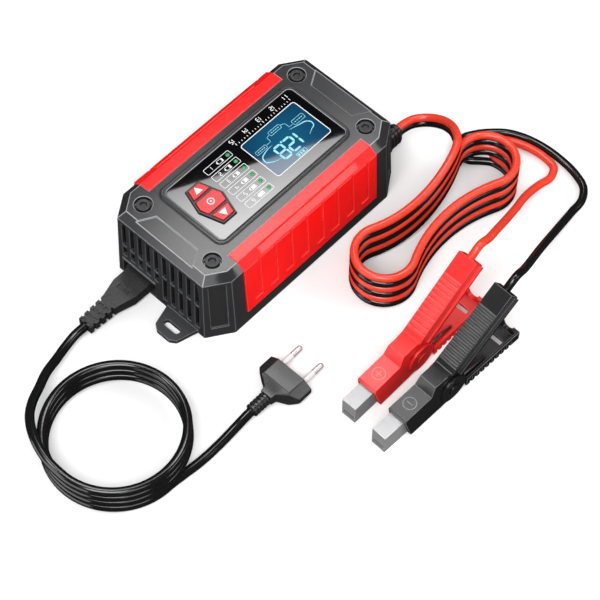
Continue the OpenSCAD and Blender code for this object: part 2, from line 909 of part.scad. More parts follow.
module display_board() {
  color(board_green)
    difference() {
      translate([panel_x, panel_y, display_z])
        round_plate(panel_l - 2, panel_w + 1, 2, board_t);
      translate([panel_x, panel_y, display_z - over])
        at_corners(display_hole_x, display_hole_y)
          cylinder(r = small_r + fit, h = board_t + 2 * over);
    }
}

switch_w = 6;
plunger_r = 1.7;
module tact_switches() {
  color(metal)
    for (y = key_rows)
      translate([keys_x, panel_y - 0.2 + y, display_top]) {
        translate([-switch_w / 2, -switch_w / 2, 0])
          cube([switch_w, switch_w, switch_h]);
        cylinder(r = plunger_r, h = switch_h + plunger_h);
      }
}

ribbon_x = 52;
ribbon_t = 0.8;
ribbon_w = 18;
module ribbon_cable() {
  color("#b9bcc0")
    block([ribbon_x, -ribbon_w / 2, main_top], [ribbon_x + ribbon_t, ribbon_w / 2, display_z]);
}

module main_board() {
  color(board_green)
    difference() {
      translate([0, 0, main_z])
        round_plate(board_l, board_w, 2, board_t);
      translate([0, 0, main_z - over])
        at_corners(board_hole_x, board_hole_y)
          cylinder(r = small_r + fit, h = board_t + 2 * over);
    }
}

// One small screw with its head's seat at z = 0, pointing down
module small_screw() {
  cylinder(r = small_head_r, h = small_head_h);
  translate([0, 0, 0.5 - board_t - small_bite])
    cylinder(r = small_r, h = board_t + small_bite);
}
module board_screws() {
  color(metal) {
    translate([0, 0, main_top])
      at_corners(board_hole_x, board_hole_y)
        small_screw();
    translate([panel_x, panel_y, display_z])
      at_corners(display_hole_x, display_hole_y)
        rotate([180, 0, 0])
          small_screw();
  }
}

// Transformer: a core with a middle leg, and the winding round that leg
core_at = [-20, 2];
core_l = 36;
core_w = 14;
core_h = 32;
core_leg = 10;
core_window = 7;
core_yoke = 5;
winding_over = 7;
winding_gap = 0.3;
module transformer_core() {
  color("#4a4d50")
    translate([core_at.x, core_at.y, main_top])
      difference() {
        block([-core_l / 2, -core_w / 2, 0], [core_l / 2, core_w / 2, core_h]);
        for (s = [-1, 1])
          translate([s * (core_leg + core_window) / 2, 0, core_h / 2])
            cube([core_window, core_w + 2, core_h - 2 * core_yoke], center = true);
      }
}
module transformer_winding() {
  outer_l = core_leg + 2 * (core_window - winding_gap);
  color(copper)
    translate([core_at.x, core_at.y, main_top + core_yoke + winding_gap])
      difference() {
        translate([-outer_l / 2, -core_w / 2 - winding_over, 0])
          cube([outer_l, core_w + 2 * winding_over, core_h - 2 * (core_yoke + winding_gap)]);
        translate([-core_leg / 2 - fit, -core_w / 2 - fit, -over])
          cube([core_leg + 2 * fit, core_w + 2 * fit, core_h]);
      }
}

capacitor_r = 8;
capacitor_h = 30;
capacitor_places = [[22, 26], [40, 26], [22, 8]];
module capacitors() {
  color("#20304a")
    for (place = capacitor_places)
      translate([place.x, place.y, main_top])
        cylinder(r = capacitor_r, h = capacitor_h);
}

sink_y = -28;
sink_l = 60;
sink_x = 18;
sink_h = 32;
sink_t = 2;
fin_t = 1.2;
fin_reach = 8;
fin_count = 8;
fin_pitch = (sink_l - fin_t) / (fin_count - 1);
module heat_sink() {
  color(metal) {
    block([sink_x - sink_l / 2, sink_y - sink_t, main_top], [sink_x + sink_l / 2, sink_y, main_top + sink_h]);
    for (i = [0:fin_count - 1])
      block(
        [sink_x - sink_l / 2 + i * fin_pitch, sink_y - sink_t - fin_reach, main_top],
        [sink_x - sink_l / 2 + i * fin_pitch + fin_t, sink_y - sink_t + eps, main_top + sink_h]
      );
  }
}

transistor_pitch = 16;
transistor_w = 10;
transistor_t = 4.5;
transistor_lift = 4.4;
transistor_h = 20;
leg_pitch = 2.5;
leg_w = 0.8;
module power_transistors() {
  color("#303234")
    for (i = [-1:1])
      translate([sink_x + i * transistor_pitch, sink_y, main_top]) {
        block([-transistor_w / 2, 0, transistor_lift], [transistor_w / 2, transistor_t, transistor_h]);
        for (leg = [-1:1])
          translate([leg * leg_pitch, 2.2, 0])
            block([-leg_w / 2, -leg_w / 2, 0], [leg_w / 2, leg_w / 2, transistor_lift + 0.1]);
      }
}

fuse_mid = [-50, -12];
fuse_l = 20;
fuse_r = 2.5;
fuse_clip = 4;
module fuse() {
  fuse_z = main_top + 5;
  color("#d8dde0") {
    rod_x(
      [fuse_mid.y, fuse_z], fuse_r,
      fuse_mid.x - (fuse_l - fuse_clip) / 2, fuse_mid.x + (fuse_l - fuse_clip) / 2
    );
    for (x = [fuse_mid.x - fuse_l / 2, fuse_mid.x + fuse_l / 2 - fuse_clip]) {
      rod_x([fuse_mid.y, fuse_z], fuse_r + 0.5, x, x + fuse_clip);
      block([x, fuse_mid.y - 1.5, main_top], [x + fuse_clip, fuse_mid.y + 1.5, fuse_z]);
    }
  }
}

choke_mid = [-47, 24];
choke_ring_r = 7.5;
choke_r = 4.5;
module choke_coil() {
  color(copper)
    translate([choke_mid.x, choke_mid.y, main_top + choke_r])
      rotate_extrude()
        translate([choke_ring_r, 0])
          circle(choke_r);
}

// Inlet: a block with a mouth for the connector's nose and two pins
module nose_outline(grow, x0, x1) {
  for (s = [-1, 1])
    rod_x([inlet_y + s * (nose_w - nose_t) / 2, inlet_z], nose_t / 2 + grow, x0, x1);
  block(
    [x0, inlet_y - (nose_w - nose_t) / 2, inlet_z - nose_t / 2 - grow],
    [x1, inlet_y + (nose_w - nose_t) / 2, inlet_z + nose_t / 2 + grow]
  );
}
module inlet_socket() {
  color(shell_black)
    difference() {
      block(
        [-recess_x, inlet_y - recess_w / 2 + fit, recess_low],
        [socket_l - recess_x, inlet_y + recess_w / 2 - fit, recess_low + socket_h]
      );
      nose_outline(nose_fit, -recess_x - over, socket_l - socket_back - recess_x);
      for (s = [-1, 1])
        rod_x([inlet_y + s * pin_pitch / 2, inlet_z], pin_r + bore_fit, -recess_x, socket_l + over - recess_x);
    }
}
module inlet_pins() {
  back = socket_l - socket_back - recess_x;
  color(metal)
    for (s = [-1, 1]) {
      rod_x([inlet_y + s * pin_pitch / 2, inlet_z], pin_r, back - pin_l, socket_l - recess_x + 3);
      translate([socket_l - recess_x + 2.5, inlet_y + s * pin_pitch / 2 - 1.4, inlet_z - 0.4])
        cube([4, 2.8, 0.8]);
    }
}

// Fan: a square frame with a spider that carries the shaft, and the rotor on that shaft
module fan_frame() {
  color(gloss_black)
    difference() {
      union() {
        difference() {
          block([fan_x, -fan_size / 2, fan_z - fan_size / 2], [fan_x + fan_t, fan_size / 2, fan_z + fan_size / 2]);
          rod_x([0, fan_z], fan_bore_r, fan_x - over, fan_x + fan_t + over);
        }
        rod_x([0, fan_z], fan_hub_r, fan_x + fan_t - fan_spider_t, fan_x + fan_t);
        for (turn = [45, 135])
          translate([fan_x + fan_t - fan_spider_t, 0, fan_z])
            rotate([turn, 0, 0])
              block([0, -1.2, -fan_bore_r - 0.5], [fan_spider_t, 1.2, fan_bore_r + 0.5]);
        rod_x([0, fan_z], fan_shaft_r, fan_x + 2, fan_x + fan_t - fan_spider_t + eps);
      }
    }
}
module fan_rotor() {
  depth = fan_t - fan_spider_t - 1.3;
  color("#1c1e20")
    translate([fan_x + 1, 0, fan_z])
      rotate([0, 90, 0])
        difference() {
          union() {
            cylinder(r = fan_hub_r, h = depth);
            intersection() {
              cylinder(r = fan_bore_r - fan_gap, h = depth);
              for (i = [0:blade_count - 1])
                rotate(i * 360 / blade_count)
                  translate([0, fan_hub_r - 1, depth / 2])
                    rotate([0, 38, 0])
                      translate([-0.6, 0, -depth])
                        cube([1.2, fan_size, 2 * depth]);
            }
          }
          translate([0, 0, -over])
            cylinder(r = fan_shaft_r + bore_fit, h = fan_t);
        }
}

// A round tube swept along points: each ring stands square to the path, and the ends are flat.
// The first and last rings face along the given directions.
function unit(v) = v / norm(v);
function tangents(points, first, last) = [
  for (i = [0:len(points) - 1])
    i == 0 && !is_undef(first) ? unit(first)
    : i == len(points) - 1 && !is_undef(last) ? unit(last)
    : unit(points[min(i + 1, len(points) - 1)] - points[max(i - 1, 0)])
];
module tube(points, diameter, sides, first = undef, last = undef) {
  n = len(points);
  ways = tangents(points, first, last);
  rings = [
    for (i = [0:n - 1])
      let (across = unit(cross(ways[i], [0, 0, 1])), above = cross(across, ways[i]))
      for (k = [0:sides - 1])
        points[i] + diameter / 2 * (cos((k + 0.5) * 360 / sides) * across
          + sin((k + 0.5) * 360 / sides) * above)
  ];
  walls = [
    for (i = [0:n - 2], k = [0:sides - 1])
      let (a = i * sides + k, b = i * sides + (k + 1) % sides)
      each [[a, b, b + sides], [a, b + sides, a + sides]]
  ];
  polyhedron(
    points = rings,
    faces = concat(
      [[for (k = [0:sides - 1]) sides - 1 - k]],
      [[for (k = [0:sides - 1]) (n - 1) * sides + k]],
      walls
    )
  );
}

// The coil of the mains cord at an angle from where it enters
function coil_point(turn) = [
  coil_mid.x + coil_r * cos(coil_enter + turn),
  coil_mid.y + coil_r * sin(coil_enter + turn),
  coil_top - coil_pitch * turn / 360
];
coil_points = [for (i = [0:coil_turns * 24]) coil_point(i * 15)];

// The hank's outline at a length along it, from the right end of its rear run
function hank_outline(s) = let (
    a = s % hank_loop,
    b = a - waist_l,
    c = b - end_l,
    d = c - waist_l
  )
  a < waist_l ? arc([0, waist_mid], waist_r, waist_half - 90 - a / waist_r * 180 / PI)
  : b < end_l ? arc([-hank_reach, 0], hank_end_r, 180 - end_half + b / hank_end_r * 180 / PI)
  : c < waist_l ? arc([0, -waist_mid], waist_r, waist_half + 90 - c / waist_r * 180 / PI)
  : arc([hank_reach, 0], hank_end_r, d / hank_end_r * 180 / PI - end_half);
function arc(middle, radius, angle) = middle + radius * [cos(angle), sin(angle)];

// The hank comes down one twin pitch along each rear run and lies level elsewhere
function hank_drop(s) = let (loop = floor(s / hank_loop), a = s - loop * hank_loop)
  loop + (a < waist_l ? (1 - cos(180 * a / waist_l)) / 2 : 1);
function hank_point(s, base) = let (p = hank_mid + hank_outline(s))
  [p.x, p.y, base + twin_pitch * (hank_levels - hank_drop(s))];
function hank_points(base) = [
  for (i = [0:hank_rings]) hank_point(hank_from + (hank_to - hank_from) * i / hank_rings, base)
];

// The least gap of a wound tube to itself, between points that are more than half a turn apart
function least_gap(points, diameter, apart) = min([
  for (i = [0:len(points) - 1], k = [i + apart:1:len(points) - 1]) norm(points[i] - points[k])
]) - diameter;
echo(coil_gap = least_gap(coil_points, mains_d, 12));
echo(hank_gap = least_gap(hank_points(red_base), lead_d, 12));

module mains_cord_start() {
  color(lead_black)
    tube(mains_start_route, mains_d, 8, [-1, 0, 0], [0, -1, 0]);
}
module mains_cord_coil() {
  color(lead_black)
    tube(coil_points, mains_d, 6, [0, -1, 0], [1, 0, 0]);
}
module mains_cord_end() {
  color(lead_black)
    tube(mains_end_route, mains_d, 8, [1, 0, 0], [1, 0, 0]);
}

// The two leads leave the gland one above the other and come onto the hank together
module lead_start(base, exit_z) {
  join = hank_points(base)[0];
  route = concat([for (p = lead_start_route) p + [0, 0, exit_z]], [join]);
  tube(route, lead_d, 8, [1, 0, 0], hank_points(base)[1] - join);
}
module lead_hank(base) {
  points = hank_points(base);
  tube(points, lead_d, 6, points[1] - points[0], [0, 1, 0]);
}
module lead_end(base, route, clamp, turn) {
  join = hank_points(base)[hank_rings];
  way = [cos(handle_angle) * cos(turn), cos(handle_angle) * sin(turn), sin(handle_angle)];
  finish = clamp + [handle_end.x * cos(turn), handle_end.x * sin(turn), handle_end.y];
  rise = concat(route, [finish + lead_exit_l * way, finish]);
  tube(concat([join], rise), lead_d, 8, [0, 1, 0], -way);
}
module red_lead_start() {
  color(lead_red)
    lead_start(red_base, gland_z + lead_pitch / 2);
}
module red_lead_hank() {
  color(lead_red)
    lead_hank(red_base);
}
module red_lead_end() {
  color(lead_red)
    lead_end(red_base, red_end_route, red_clamp, red_turn);
}
module black_lead_start() {
  color(lead_black)
    lead_start(black_base, gland_z - lead_pitch / 2);
}
module black_lead_hank() {
  color(lead_black)
    lead_hank(black_base);
}
module black_lead_end() {
  color(lead_black)
    lead_end(black_base, black_end_route, black_clamp, black_turn);
}

// The terminal that the output wires run into, and the two wires from there to the gland
module output_terminal() {
  color("#2f6f4c")
    block(
      [terminal_x - terminal_l, terminal_y - terminal_w / 2, main_top],
      [terminal_x, terminal_y + terminal_w / 2, main_top + terminal_h]
    );
}
module output_wires() {
  for (side = [-1, 1]) {
    z = gland_z + side * lead_pitch / 2;
    y = terminal_y + side * 3.5;
    route = [
      [gland_in, gland_y, z], [gland_in - 4, gland_y, z], [gland_in - 10, gland_y + 1.2, z - 1],
      [gland_in - 16, gland_y + 5, z - 3], [terminal_x + 6, y - 2, main_top + 8],
      [terminal_x + 3, y, main_top + 6.5], [terminal_x, y, main_top + 6.5]
    ];
    color(side > 0 ? lead_red : lead_black)
      tube(route, 3.4, 8, [-1, 0, 0], [-1, 0, 0]);
  }
}

// Mains connector: a flat body with a nose, a tapered back and a ribbed strain relief
module mains_connector() {
  half = connector_w / 2;
  t = connector_t / 2;
  color(lead_black)
    difference() {
      union() {
        nose_outline(0, -connector_x - eps, nose_l - connector_x);
        intersection() {
          translate([0, inlet_y, 0])
            linear_extrude(20)
              polygon([
                [-connector_x, -half], [-connector_x, half], [12.5 - relief_x, half],
                [-relief_x, relief_w / 2], [-cord_x, relief_w / 2 - 1], [-cord_x, 1 - relief_w / 2],
                [-relief_x, -relief_w / 2], [12.5 - relief_x, -half]
              ]);
          along_y(0, 2 * inlet_y)
            polygon([
              [-connector_x, inlet_z - t], [-connector_x, inlet_z + t], [12.5 - relief_x, inlet_z + t],
              [-relief_x, inlet_z + t - 0.4], [-cord_x, inlet_z + t - 1], [-cord_x, inlet_z - t + 1],
              [-relief_x, inlet_z - t + 0.4]
            ]);
        }
      }
      // Bores for the inlet pins
      for (s = [-1, 1])
        rod_x(
          [inlet_y + s * pin_pitch / 2, inlet_z], pin_r + bore_fit,
          nose_l - connector_x - pin_l - 0.5, nose_l - connector_x + over
        );
      // Thumb field on the top
      block(
        [10.5 - relief_x, inlet_y - 4.5, inlet_z + t - 0.8],
        [14 - relief_x, inlet_y + 4.5, inlet_z + t + over]
      );
      // Notches of the strain relief, in turn on its sides and on its faces
      for (i = [0:3]) {
        x = -relief_x - 3.5 - i * 5.2;
        for (s = [-1, 1]) {
          translate([0, inlet_y + s * relief_w / 2, 0])
            block([x - 1, -2, 0], [x + 1, 2, 20]);
          translate([x - 2.6, inlet_y + s * 2.4, inlet_z]) {
            block([-1, -1.4, t - 1.6], [1, 1.4, t + 1]);
            block([-1, -1.4, -t - 1], [1, 1.4, 1.6 - t]);
          }
        }
      }
    }
}

// Plug: a flat body with a tapered grip, two sleeved pins and a ringed strain relief
module plug_body() {
  half = plug_w / 2;
  flat = plug_flat / 2;
  t = plug_t / 2;
  color(lead_black)
    difference() {
      intersection() {
        translate([0, plug_y, 0])
          linear_extrude(plug_t)
            polygon([
              [plug_face, -half], [plug_face, half], [plug_face - 11, half], [plug_face - 12.5, half - 1.5],
              [plug_back + 4, 5], [plug_back, 4.4], [plug_back, -4.4], [plug_back + 4, -5],
              [plug_face - 12.5, 1.5 - half], [plug_face - 11, -half]
            ]);
        along_x(plug_back, plug_face)
          polygon([
            [plug_y - half, plug_z - 2.2], [plug_y - flat, 0], [plug_y + flat, 0], [plug_y + half, plug_z - 2.2],
            [plug_y + half, plug_z + 2.2], [plug_y + flat, plug_t], [plug_y - flat, plug_t],
            [plug_y - half, plug_z + 2.2]
          ]);
        along_y(plug_y - half, plug_y + half)
          polygon([
            [plug_back, plug_z - 4.2], [plug_back + 4, plug_z - 4.8], [plug_back + 10, plug_z - t],
            [plug_face, plug_z - t], [plug_face, plug_z + t], [plug_back + 10, plug_z + t],
            [plug_back + 4, plug_z + 4.8], [plug_back, plug_z + 4.2]
          ]);
      }
      at_plug_pins()
        rod_x([0, 0], plug_pin_r + bore_fit, -8, over);
    }
}
module at_plug_pins() {
  for (s = [-1, 1])
    translate([plug_face, plug_y + s * plug_pin_pitch / 2, plug_z])
      children();
}
module plug_pins() {
  color(metal)
    at_plug_pins() {
      rod_x([0, 0], plug_pin_r - sleeve_t - bore_fit, -7.5, sleeve_l + eps);
      rod_x([0, 0], plug_pin_r, sleeve_l, plug_pin_l - plug_pin_r);
      translate([plug_pin_l - plug_pin_r, 0, 0])
        sphere(plug_pin_r);
    }
}
module plug_sleeves() {
  color("#8d9094")
    at_plug_pins()
      difference() {
        rod_x([0, 0], plug_pin_r, -7.5, sleeve_l);
        rod_x([0, 0], plug_pin_r - sleeve_t, -8, sleeve_l + over);
      }
}
module plug_relief() {
  color(lead_black) {
    rod_x([plug_y, plug_z], 3.6, plug_cord_x, plug_back);
    for (i = [0:4])
      rod_x([plug_y, plug_z], 4.6, plug_cord_x + i * 2.7 + 0.4, plug_cord_x + i * 2.7 + 2);
  }
}

// Clamps, drawn with the pivot over the origin, the jaws towards -X and the lower half on z = 0
module clamp_at(place, turn) {
  translate(place)
    rotate(turn)
      children();
}

// The raised handle's own frame: X runs along its top edge and Z out of its top
module on_handle() {
  translate([handle_from.x, 0, handle_from.y])
    rotate([0, -handle_angle, 0])
      children();
}

// The wavy line where the jaws meet, between two places, raised by a gap
function bite_line(x0, x1, gap) = [
  for (i = [0:4 * round((x1 - x0) / tooth_pitch)])
    let (x = x0 + i * tooth_pitch / 4) [x, bite_h + gap + 0.5 * sin(i * 90)]
];

module upper_handle() {
  wide = clamp_w / 2;
  narrow = clamp_top_w / 2;
  slope = (wide - narrow) / nose_h;
  difference() {
    union() {
      intersection() {
        along_y(-wide, wide)
          polygon([
            [-clamp_nose, nose_h - 1.5], [1 - clamp_nose, nose_h], [plate_back, nose_h + 1],
            [plate_back + 4.3, saddle_h + 2], [handle_from.x + 1, saddle_h + 0.6],
            [cheek_r - 0.6, pivot_h + 12], [cheek_r - 0.6, pivot_h - 1], [0, 2], [jaw_back, 1.5],
            [5 - clamp_nose, 0.8], [4 - clamp_nose, 2]
          ]);
        along_x(-clamp_nose - over, cheek_r + over)
          polygon([
            [-wide, 0], [wide, 0], [wide - slope * (saddle_h + 1), saddle_h + 1],
            [slope * (saddle_h + 1) - wide, saddle_h + 1]
          ]);
      }
      rod_y([0, pivot_h], cheek_r, -wide, wide);
      on_handle() {
        block([0, -narrow, -handle_t], [handle_l, narrow, 0]);
        block([3, 0.2 - wide, -handle_t], [handle_l - 1, wide - 0.2, flange_t - handle_t]);
        // Ribs across the back of the handle
        for (i = [0:11])
          rod_y([6 + i * 3.6, -1], 1.5, 0.4 - narrow, narrow - 0.4);
      }
    }
    // Room for the jaw, for the lower cheeks and for the spring
    block([-clamp_nose - over, -jaw_w / 2 - jaw_fit, -over], [jaw_back + 4, jaw_w / 2 + jaw_fit, jaw_top]);
    rod_y([0, pivot_h], hollow_r, -upper_in, upper_in);
    block([jaw_back + 2, -upper_in, -over], [cheek_r + 2, upper_in, pivot_h]);
    on_handle()
      block([0, -narrow + 1.6, -handle_t - over], [handle_l - handle_cap, narrow - 1.6, -handle_roof]);
    rod_y([0, pivot_h], rivet_r + bore_fit, -wide - over, wide + over);
  }
}

// A jaw's side wall: a profile under or over the wavy line
module upper_jaw() {
  front = -clamp_nose - jaw_reach;
  half = jaw_w / 2;
  for (s = [-1, 1])
    scale([1, s, 1])
      along_y(half - jaw_t, half)
        polygon(concat([[jaw_back, jaw_top], [front, jaw_top]], bite_line(front, jaw_back, 0.2)));
  block([front, -half, jaw_top - jaw_t], [jaw_back, half, jaw_top]);
  block([front, -half, bite_h + 2], [front + jaw_t, half, jaw_top]);
}
module lower_jaw() {
  front = -clamp_nose - jaw_reach;
  half = jaw_w / 2;
  for (s = [-1, 1])
    scale([1, s, 1])
      along_y(half - jaw_t, half)
        polygon(concat([[jaw_back, 0], [front, 0]], bite_line(front, jaw_back, 0)));
  block([front, -half, 0], [jaw_back, half, jaw_t]);
}

module rivet() {
  wide = clamp_w / 2;
  rod_y([0, pivot_h], rivet_r, -wide - 0.2, wide + 0.2);
  for (s = [-1, 1])
    scale([1, s, 1])
      rod_y([0, pivot_h], rivet_head_r, wide + bore_fit, wide + 1);
}

// The torsion spring: a close coil round the rivet with one leg in each handle
module spring() {
  leg = [26, saddle_h + 15];
  coil_mid_r = (spring_in + spring_out) / 2;
  difference() {
    rod_y([0, pivot_h], spring_out, -lower_in + 0.4, lower_in - 0.4);
    rod_y([0, pivot_h], spring_in, -lower_in, lower_in);
  }
  leg_rod([0, pivot_h - coil_mid_r], [34, lower_floor + lower_floor_t + wire_r + 0.05], -2.5);
  leg_rod([-2.5, pivot_h + coil_mid_r - 1], leg, 2.5);
}
module leg_rod(from, to, y) {
  way = to - from;
  translate([from.x, y, from.y])
    rotate([0, 90 - atan2(way.y, way.x), 0])
      cylinder(r = wire_r, h = norm(way), $fn = 24);
}

module lower_handle() {
  wide = clamp_w / 2;
  trough = cheek_r + 1.5;
  difference() {
    union() {
      // Tongue on the lower jaw, floor, side walls and end wall
      block([jaw_back - 6, -jaw_w / 2 + jaw_t + fit, lower_floor], [0, jaw_w / 2 - jaw_t - fit, lower_floor + lower_floor_t]);
      block([jaw_back + 4, -lower_out, lower_floor], [trough + 1, lower_out, lower_floor + lower_floor_t]);
      block([trough, -wide, lower_floor], [lower_l, wide, lower_floor + lower_floor_t]);
      for (s = [-1, 1])
        scale([1, s, 1]) {
          block([trough, wide - 1.8, 0], [lower_l, wide, lower_wall_h]);
          block([-8, lower_in, 0], [8, lower_out, pivot_h]);
          rod_y([0, pivot_h], lower_cheek_r, lower_in, lower_out);
        }
      block([lower_l - 3, -wide, 0], [lower_l, wide, lower_wall_h]);
    }
    // Slot across the floor, notch in the end wall, rivet's bore and finger scallops along the walls
    block([lower_l - 14, -5, -over], [lower_l - 10.5, 5, lower_floor + lower_floor_t + over]);
    translate([lower_l - 4, 0, lower_wall_h])
      rotate([0, 90, 0])
        cylinder(r = 4, h = 5);
    rod_y([0, pivot_h], rivet_r + bore_fit, -wide, wide);
    for (i = [0:8], s = [-1, 1])
      translate([trough + 4 + i * 4.6, s * wide, -over])
        cylinder(r = 1, h = lower_wall_h - 1, $fn = 16);
  }
}

module red_upper_handle() {
  color(grip_red)
    clamp_at(red_clamp, red_turn)
      upper_handle();
}
module red_upper_jaw() {
  color(metal)
    clamp_at(red_clamp, red_turn)
      upper_jaw();
}
module red_rivet() {
  color(metal)
    clamp_at(red_clamp, red_turn)
      rivet();
}
module red_spring() {
  color(metal)
    clamp_at(red_clamp, red_turn)
      spring();
}
module red_lower_handle() {
  color(grip_red)
    clamp_at(red_clamp, red_turn)
      lower_handle();
}
module red_lower_jaw() {
  color(metal)
    clamp_at(red_clamp, red_turn)
      lower_jaw();
}
module black_upper_handle() {
  color(lead_black)
    clamp_at(black_clamp, black_turn)
      upper_handle();
}
module black_upper_jaw() {
  color(metal)
    clamp_at(black_clamp, black_turn)
      upper_jaw();
}
module black_rivet() {
  color(metal)
    clamp_at(black_clamp, black_turn)
      rivet();
}
module black_spring() {
  color(metal)
    clamp_at(black_clamp, black_turn)
      spring();
}
module black_lower_handle() {
  color(lead_black)
    clamp_at(black_clamp, black_turn)
      lower_handle();
}
module black_lower_jaw() {
  color(metal)
    clamp_at(black_clamp, black_turn)
      lower_jaw();
}

base_shell();
top_cover();
front_grip();
rear_grip();
display_panel();
key_bezel();
case_screws();
output_gland();
up_key();
enter_key();
down_key();
lcd_module();
status_lights();
display_board();
tact_switches();
ribbon_cable();
main_board();
board_screws();
transformer_core();
transformer_winding();
capacitors();
heat_sink();
power_transistors();
fuse();
choke_coil();
inlet_socket();
inlet_pins();
fan_frame();
fan_rotor();
output_terminal();
output_wires();
mains_connector();
mains_cord_start();
mains_cord_coil();
mains_cord_end();
plug_relief();
plug_body();
plug_pins();
plug_sleeves();
red_lead_start();
red_lead_hank();
red_lead_end();
black_lead_start();
black_lead_hank();
black_lead_end();
red_upper_handle();
red_upper_jaw();
red_rivet();
red_spring();
red_lower_handle();
red_lower_jaw();
black_upper_handle();
black_upper_jaw();
black_rivet();
black_spring();
black_lower_handle();
black_lower_jaw();
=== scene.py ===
"""The looks of a mains car battery charger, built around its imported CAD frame.

Every piece is in metres, in the frame of the part. Sizes that are written in millimetres are turned into
metres by MM, by a placing matrix or by the functions that take millimetres and say so.
"""

import json
import math

import bmesh
import bpy
import numpy as np
from mathutils import Matrix, Vector

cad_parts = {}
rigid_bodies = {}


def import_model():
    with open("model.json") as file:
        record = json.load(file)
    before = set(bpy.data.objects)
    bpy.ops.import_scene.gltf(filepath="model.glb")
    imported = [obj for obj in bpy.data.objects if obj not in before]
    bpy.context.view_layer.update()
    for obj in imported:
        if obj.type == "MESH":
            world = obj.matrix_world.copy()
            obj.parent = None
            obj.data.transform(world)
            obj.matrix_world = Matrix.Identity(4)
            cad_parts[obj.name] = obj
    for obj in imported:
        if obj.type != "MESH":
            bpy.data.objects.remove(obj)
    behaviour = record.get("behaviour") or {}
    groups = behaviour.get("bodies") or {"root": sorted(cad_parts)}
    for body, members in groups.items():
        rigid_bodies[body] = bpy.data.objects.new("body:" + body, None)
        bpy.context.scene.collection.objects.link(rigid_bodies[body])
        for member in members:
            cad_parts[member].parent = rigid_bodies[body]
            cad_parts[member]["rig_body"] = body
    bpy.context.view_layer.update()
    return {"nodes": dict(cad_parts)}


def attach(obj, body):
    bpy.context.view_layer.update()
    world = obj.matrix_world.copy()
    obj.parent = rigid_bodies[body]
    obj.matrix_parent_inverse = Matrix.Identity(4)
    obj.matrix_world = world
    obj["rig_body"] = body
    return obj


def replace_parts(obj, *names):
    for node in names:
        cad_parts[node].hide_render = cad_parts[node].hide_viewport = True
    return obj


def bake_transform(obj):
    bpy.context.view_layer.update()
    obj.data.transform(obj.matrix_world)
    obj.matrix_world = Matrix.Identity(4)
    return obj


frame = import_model()

MM = 0.001
UP = (0, 0, 1)
TURN = 2 * math.pi
NOISE_RANGE = (0.3, 0.7)


# ---- shader building

class Wire:
    """A value inside a material. Plain arithmetic on it adds maths nodes."""

    def __init__(self, finish, socket):
        self.finish = finish
        self.socket = socket

    def maths(self, kind, *values):
        return self.finish.add("ShaderNodeMath", {"operation": kind}, dict(enumerate(values)))

    def __add__(self, other):
        return self.maths("ADD", self, other)

    def __sub__(self, other):
        return self.maths("SUBTRACT", self, other)

    def __mul__(self, other):
        return self.maths("MULTIPLY", self, other)

    def __pow__(self, other):
        return self.maths("POWER", self, other)

    def __gt__(self, other):
        return self.maths("GREATER_THAN", self, other)

    def wave(self):
        return self.maths("SINE", self)


class Finish:
    """A material being made: a Principled shader and what feeds it."""

    def __init__(self, name, **constants):
        self.material = bpy.data.materials.new(name)
        self.material.use_nodes = True
        self.tree = self.material.node_tree
        self.shader = self.tree.nodes["Principled BSDF"]
        for socket, value in constants.items():
            self.set(socket.replace("_", " "), value)

    def add(self, kind, settings=None, values=None, output=0):
        """A new node's output, after its settings and its inputs' values or wires."""
        node = self.tree.nodes.new(kind)
        for setting, value in (settings or {}).items():
            setattr(node, setting, value)
        for socket, value in (values or {}).items():
            self.feed(node.inputs[socket], value)
        return Wire(self, node.outputs[output])

    def feed(self, socket, value):
        if isinstance(value, Wire):
            self.tree.links.new(value.socket, socket)
        else:
            socket.default_value = value

    def set(self, socket, value):
        """Feeds one input of the shader. A colour may be given by three numbers."""
        if isinstance(value, tuple) and len(value) == 3:
            value = (*value, 1)
        self.feed(self.shader.inputs[socket], value)

    def place(self, scale=(1, 1, 1)):
        """The point on the object in metres, stretched by a scale."""
        point = self.add("ShaderNodeTexCoord", output="Object")
        return self.add("ShaderNodeMapping", values={"Vector": point, "Scale": scale})

    def axis(self, letter):
        point = self.add("ShaderNodeTexCoord", output="Object")
        return self.add("ShaderNodeSeparateXYZ", values={0: point}, output=letter)

    def noise(self, size, detail=2.0, scale=(1, 1, 1)):
        """A noise from 0 to 1 whose lumps have that size in metres."""
        values = {"Vector": self.place(scale), "Scale": 1 / size, "Detail": detail}
        return self.add("ShaderNodeTexNoise", values=values)

    def cells(self, size):
        """The distance from the nearest of many scattered points, from 0 to about 1."""
        values = {"Vector": self.place(), "Scale": 1 / size}
        return self.add("ShaderNodeTexVoronoi", values=values)

    def blend(self, share, low, high):
        """The colour between two colours, by a share from 0 to 1."""
        settings = {"data_type": "RGBA", "clamp_factor": True}
        low, high = (c if isinstance(c, Wire) else (*c, 1) for c in (low, high))
        values = {"Factor": share, 6: low, 7: high}
        return self.add("ShaderNodeMix", settings, values, output=2)

    def span(self, value, low, high, first=0.0, last=1.0):
        """A value from low to high carried over to first to last, and held there outside."""
        values = {"Value": value, "From Min": low, "From Max": high, "To Min": first, "To Max": last}
        return self.add("ShaderNodeMapRange", values=values)

    def stripes(self, letter, pitch):
        """A wave from -1 to 1 across one axis, with that pitch in metres."""
        return (self.axis(letter) * (TURN / pitch)).wave()

    def tint(self, share, low, high):
        """Sets the colour between two colours, by a share from 0 to 1."""
        self.set("Base Color", self.blend(share, low, high))

    def rough(self, noise, low, high):
        """Carries the usual range of a noise over to a roughness from low to high."""
        self.set("Roughness", self.span(noise, *NOISE_RANGE, low, high))

    def bump(self, height, depth):
        """Turns a height from 0 to 1 into relief of that depth in millimetres."""
        values = {"Height": height, "Distance": depth * MM, "Strength": 1.0}
        self.set("Normal", self.add("ShaderNodeBump", values=values))


# ---- finishes

